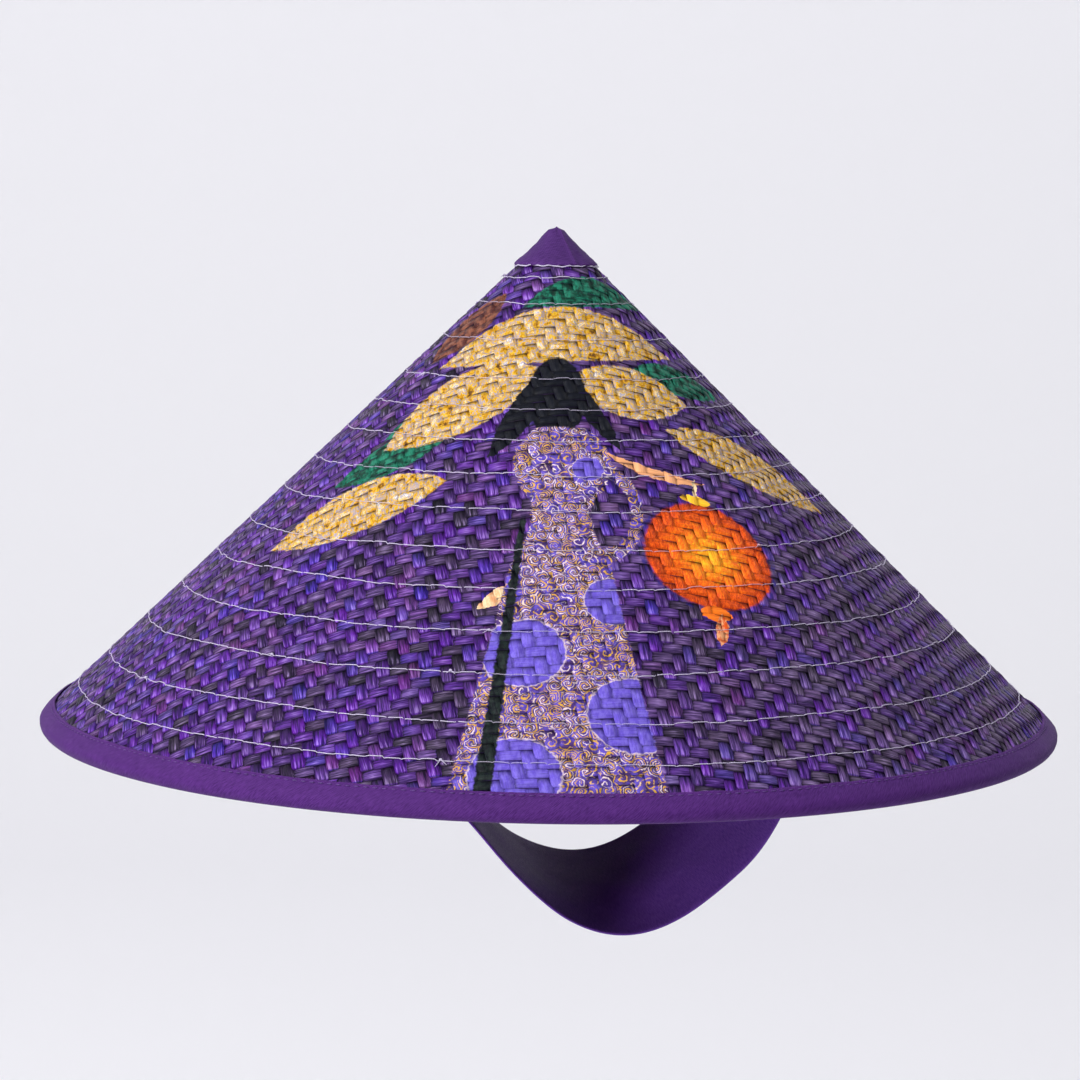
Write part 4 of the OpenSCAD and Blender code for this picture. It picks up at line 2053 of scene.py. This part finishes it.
@dataclass
class ChinStrap:
    """The wide doubled cloth strap, gathered at both ends where it goes through its thread rings.

    The middle line is the one that the CAD solid follows: distance along the span and height over the rim.
    """

    line_mm: tuple[tuple[float, float], ...] = (
        (-113.5, 66.5), (-111, 61), (-104, 47), (-90, 26), (-68, 2), (-43, -23),
        (-23, -48), (-1, -68), (22, -75), (46, -69), (72, -49), (87, -25),
        (96, 0), (102, 24), (108, 46), (111, 60), (113.5, 66.5),
    )
    span_turn: float = math.radians(17)
    lift: float = 4.5 * MM
    width: float = 74 * MM
    rise: float = 18 * MM
    neck: float = 3.2 * MM
    cloth: float = 1.1 * MM
    flare_from: float = 9 * MM
    flare_to: float = 46 * MM
    rows: int = 180
    columns: int = 36
    pleats: float = 5.0
    drag: float = 1.3 * MM
    slack: float = 1.1 * MM
    cup: float = 1.6 * MM
    hem: float = 3.6 * MM
    hem_dent: float = 0.28 * MM

    def middle_line(self) -> np.ndarray:
        """Gives the strap's middle line, evenly spaced, as span and height in the hat's frame.

        Returns:
            Span and height of each row's middle.
        """
        low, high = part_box("strap_loop_right")
        strap_low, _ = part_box("chin_strap")
        lowest = min(z for _, z in self.line_mm)
        rim_z = strap_low[2] - (lowest * MM - self.rise / 2)
        tie_z = frame["record"]["behaviour"]["joints"][0]["pos_m"][2]
        tie_x = math.hypot((low[0] + high[0]) / 2, (low[1] + high[1]) / 2)
        points = [(-tie_x - 2.5 * MM, tie_z), (-tie_x + 1.6 * MM, tie_z - 0.2 * MM)]
        points += [(x * MM, z * MM + rim_z + self.lift * max(z / lowest, 0.0)) for x, z in self.line_mm]
        points += [(tie_x - 1.6 * MM, tie_z - 0.2 * MM), (tie_x + 2.5 * MM, tie_z)]
        curve = np.array(self.smooth(points))
        run = np.concatenate([[0.0], np.cumsum(np.linalg.norm(np.diff(curve, axis=0), axis=1))])
        self.length = float(run[-1])
        even = np.linspace(0, self.length, self.rows + 1)
        return np.stack([np.interp(even, run, curve[:, 0]), np.interp(even, run, curve[:, 1])], axis=-1)

    @staticmethod
    def smooth(points: list[tuple[float, float]], steps: int = 16) -> list[np.ndarray]:
        """Runs a smooth curve through points.

        Args:
            points: The points.
            steps: Steps between two points.

        Returns:
            The curve's points.
        """
        p = [np.array(point) for point in points]
        curve = []
        for i in range(len(p) - 1):
            a, b, c, d = p[max(i - 1, 0)], p[i], p[i + 1], p[min(i + 2, len(p) - 1)]
            for k in range(steps):
                u = k / steps
                square, cube = (2 * a - 5 * b + 4 * c - d) * u**2, (3 * b - a - 3 * c + d) * u**3
                curve.append(0.5 * (2 * b + (c - a) * u + square + cube))
        curve.append(p[-1])
        return curve

    def build(self, wardrobe: Wardrobe) -> None:
        """Builds the strap.

        Args:
            wardrobe: The materials.
        """
        line = self.middle_line()
        bm = bmesh.new()
        bmesh.ops.create_grid(bm, x_segments=self.rows, y_segments=self.columns, size=1.0)
        obj = piece_from(bm, "chin_strap_cloth", [wardrobe["strap_cloth"]])
        count = self.rows + 1
        row = np.tile(np.arange(count), self.columns + 1)
        q = np.repeat(np.linspace(-1, 1, self.columns + 1), count)
        even = self.length * row / self.rows
        from_end = np.minimum(even, self.length - even)
        flare = np.array([ease(v, self.flare_from, self.flare_from + self.flare_to) for v in from_end])
        width = self.neck + (self.width - self.neck) * flare
        way = np.gradient(line, axis=0)
        way /= np.linalg.norm(way, axis=1)[:, None]
        normal = np.stack([-way[:, 1], way[:, 0]], axis=-1)
        gathered = 1 - flare
        fold = np.sin(q * math.pi * self.pleats + 0.6) * gathered * np.minimum(2.6 * MM, width * 0.16)
        drag = self.drag * np.sin(q * 7 + even / 0.019) * bell(from_end - 0.055, 0.035)
        soft = wobble((e * 26, w * 1.7, 1.0) for e, w in zip(even, q)) * self.slack * flare
        cup = -self.cup * (q * q - 0.33) * flare
        from_side = (1 - np.abs(q)) * self.width / 2
        hem = -self.hem_dent * bell(from_side - self.hem, 0.45 * MM) * flare
        off = fold + drag + soft + cup + hem
        span = line[row, 0] + normal[row, 0] * off
        height = line[row, 1] + normal[row, 1] * off + self.rise / 2 * flare * q
        deep = q * width / 2
        c, s = math.cos(self.span_turn), math.sin(self.span_turn)
        move_points(obj.data, np.stack([span * c - deep * s, span * s + deep * c, height], axis=-1))
        write_uv(obj.data, "cloth", np.stack([q * self.width / 2, even], axis=-1) / MM)
        write_value(obj.data, "wear", 0.35 * bell(from_side, 0.8 * MM))
        add_modifier(obj, "SOLIDIFY", thickness=self.cloth, offset=0.0)
        add_modifier(obj, "SUBSURF", levels=1, render_levels=1)
        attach(obj, STRAP_BODY)
        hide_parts("chin_strap")
        log.info("chin strap: %.0f mm long, %d faces", self.length / MM, len(obj.data.polygons))


# ---------------------------------------------------------------- carried-over CAD pieces


def dress_nodes(wardrobe: Wardrobe) -> None:
    """Gives the CAD nodes that stay their materials.

    Args:
        wardrobe: The materials.
    """
    for name in (*HOOP_NODES, "rim_hoop"):
        for slot in frame["nodes"][name].material_slots:
            slot.material = wardrobe["bamboo"]
    for name in ("strap_loop_left", "strap_loop_right"):
        for slot in frame["nodes"][name].material_slots:
            slot.material = wardrobe["tie_cord"]


# ---------------------------------------------------------------- stage


@dataclass
class Stage:
    """The plain pale backdrop, the soft studio lights and the camera."""

    camera_away: float = 1.0883
    camera_over_rim: float = 0.1839
    pitch: float = math.radians(5.953)
    yaw: float = math.radians(-0.238)
    roll: float = math.radians(0.947)
    lens: float = 91.8
    floor_drop: float = 0.55
    floor_size: float = 14.0
    sweep_start: float = 2.5
    sweep_radius: float = 1.5
    paper: Colour = (0.86, 0.855, 0.89)
    sky: Colour = (0.92, 0.92, 0.96)
    sky_strength: float = 0.30
    lamps: tuple[tuple[str, Vector, Vector, float, float], ...] = (
        ("key", Vector((-0.9, -1.5, 1.75)), Vector((0, 0, 0)), 0.9, 48.0),
        ("low_fill", Vector((-1.5, -1.6, 0.05)), Vector((0.05, 0, -0.12)), 0.7, 22.0),
        ("backdrop_left", Vector((-2.4, 0.9, 2.6)), Vector((-0.6, 3.9, 0.2)), 1.8, 53.0),
        ("backdrop_right", Vector((2.4, 0.9, 2.6)), Vector((0.6, 3.9, 0.2)), 1.8, 47.0),
    )

    def backdrop(self) -> None:
        """Builds the floor with its curved rise at the back."""
        bm = bmesh.new()
        floor_z = CAD_BOUNDS[0][2] - self.floor_drop
        half = self.floor_size / 2
        start, bend = self.sweep_start, self.sweep_radius
        profile = [(-half, 0.0), (start, 0.0)]
        turns = np.linspace(0.1, math.pi / 2, 12)
        profile += [(start + bend * math.sin(a), bend - bend * math.cos(a)) for a in turns]
        profile.append((start + bend, half))
        verts = [bm.verts.new((-half, y, floor_z + z)) for y, z in profile]
        edges = [bm.edges.new(pair) for pair in zip(verts, verts[1:])]
        made = bmesh.ops.extrude_edge_only(bm, edges=edges)["geom"]
        moved = [v for v in made if isinstance(v, bmesh.types.BMVert)]
        bmesh.ops.translate(bm, verts=moved, vec=(self.floor_size, 0, 0))
        material, _, shader = start_material("backdrop_paper")
        shader.inputs["Base Color"].default_value = (*self.paper, 1)
        shader.inputs["Roughness"].default_value = 0.9
        floor = piece_from(bm, "backdrop", [material])
        point_outwards(floor.data, Vector((0, 2.0, floor_z - 3.0)))

    def lights(self) -> None:
        """Adds the sky light and the lamps, each aimed at its target: the hat, or the backdrop behind it."""
        world = bpy.data.worlds.new("studio")
        world.use_nodes = True
        background = world.node_tree.nodes["Background"]
        background.inputs["Color"].default_value = (*self.sky, 1)
        background.inputs["Strength"].default_value = self.sky_strength
        bpy.context.scene.world = world
        for name, place, target, size, power in self.lamps:
            light = bpy.data.lights.new(name, "AREA")
            light.shape = "DISK"
            light.size = size
            light.energy = power
            lamp = bpy.data.objects.new(name, light)
            lamp.location = place
            lamp.rotation_euler = (target - place).to_track_quat("-Z", "Y").to_euler()
            bpy.context.scene.collection.objects.link(lamp)

    def camera(self) -> None:
        """Adds the camera, level with the front and rolled a little."""
        low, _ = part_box("rim_binding")
        place = Vector((0.0, -self.camera_away, low[2] + 3 * MM + self.camera_over_rim))
        flat = math.cos(self.pitch)
        ahead = Vector((math.sin(self.yaw) * flat, math.cos(self.yaw) * flat, -math.sin(self.pitch)))
        level = Vector((math.cos(self.yaw), -math.sin(self.yaw), 0.0))
        upright = level.cross(ahead)
        right = level * math.cos(self.roll) + upright * math.sin(self.roll)
        up = upright * math.cos(self.roll) - level * math.sin(self.roll)
        data = bpy.data.cameras.new("camera")
        data.lens = self.lens
        data.clip_start = 0.01
        camera = bpy.data.objects.new("camera", data)
        camera.matrix_world = Matrix((right, up, -ahead)).transposed().to_4x4()
        camera.location = place
        bpy.context.scene.collection.objects.link(camera)
        bpy.context.scene.camera = camera

    def build(self) -> None:
        """Builds the backdrop, the lights and the camera."""
        self.camera()
        self.backdrop()
        self.lights()
        bpy.context.scene.view_settings.view_transform = "Standard"


def main() -> None:
    """Builds every part of the hat in order."""
    logging.basicConfig(level=logging.INFO, format="%(name)s: %(message)s")
    Stage().build()
    wardrobe = Wardrobe(Effects(fibre_group(), cloth_group(), Picture().group()))
    wardrobe.dress()
    mat = WovenMat()
    mat.build(wardrobe)
    SewingThreads(mat).build(wardrobe)
    TipCap(mat).build(wardrobe)
    RimBinding().build(wardrobe)
    ChinStrap().build(wardrobe)
    dress_nodes(wardrobe)


if __name__ == "__main__":
    main()
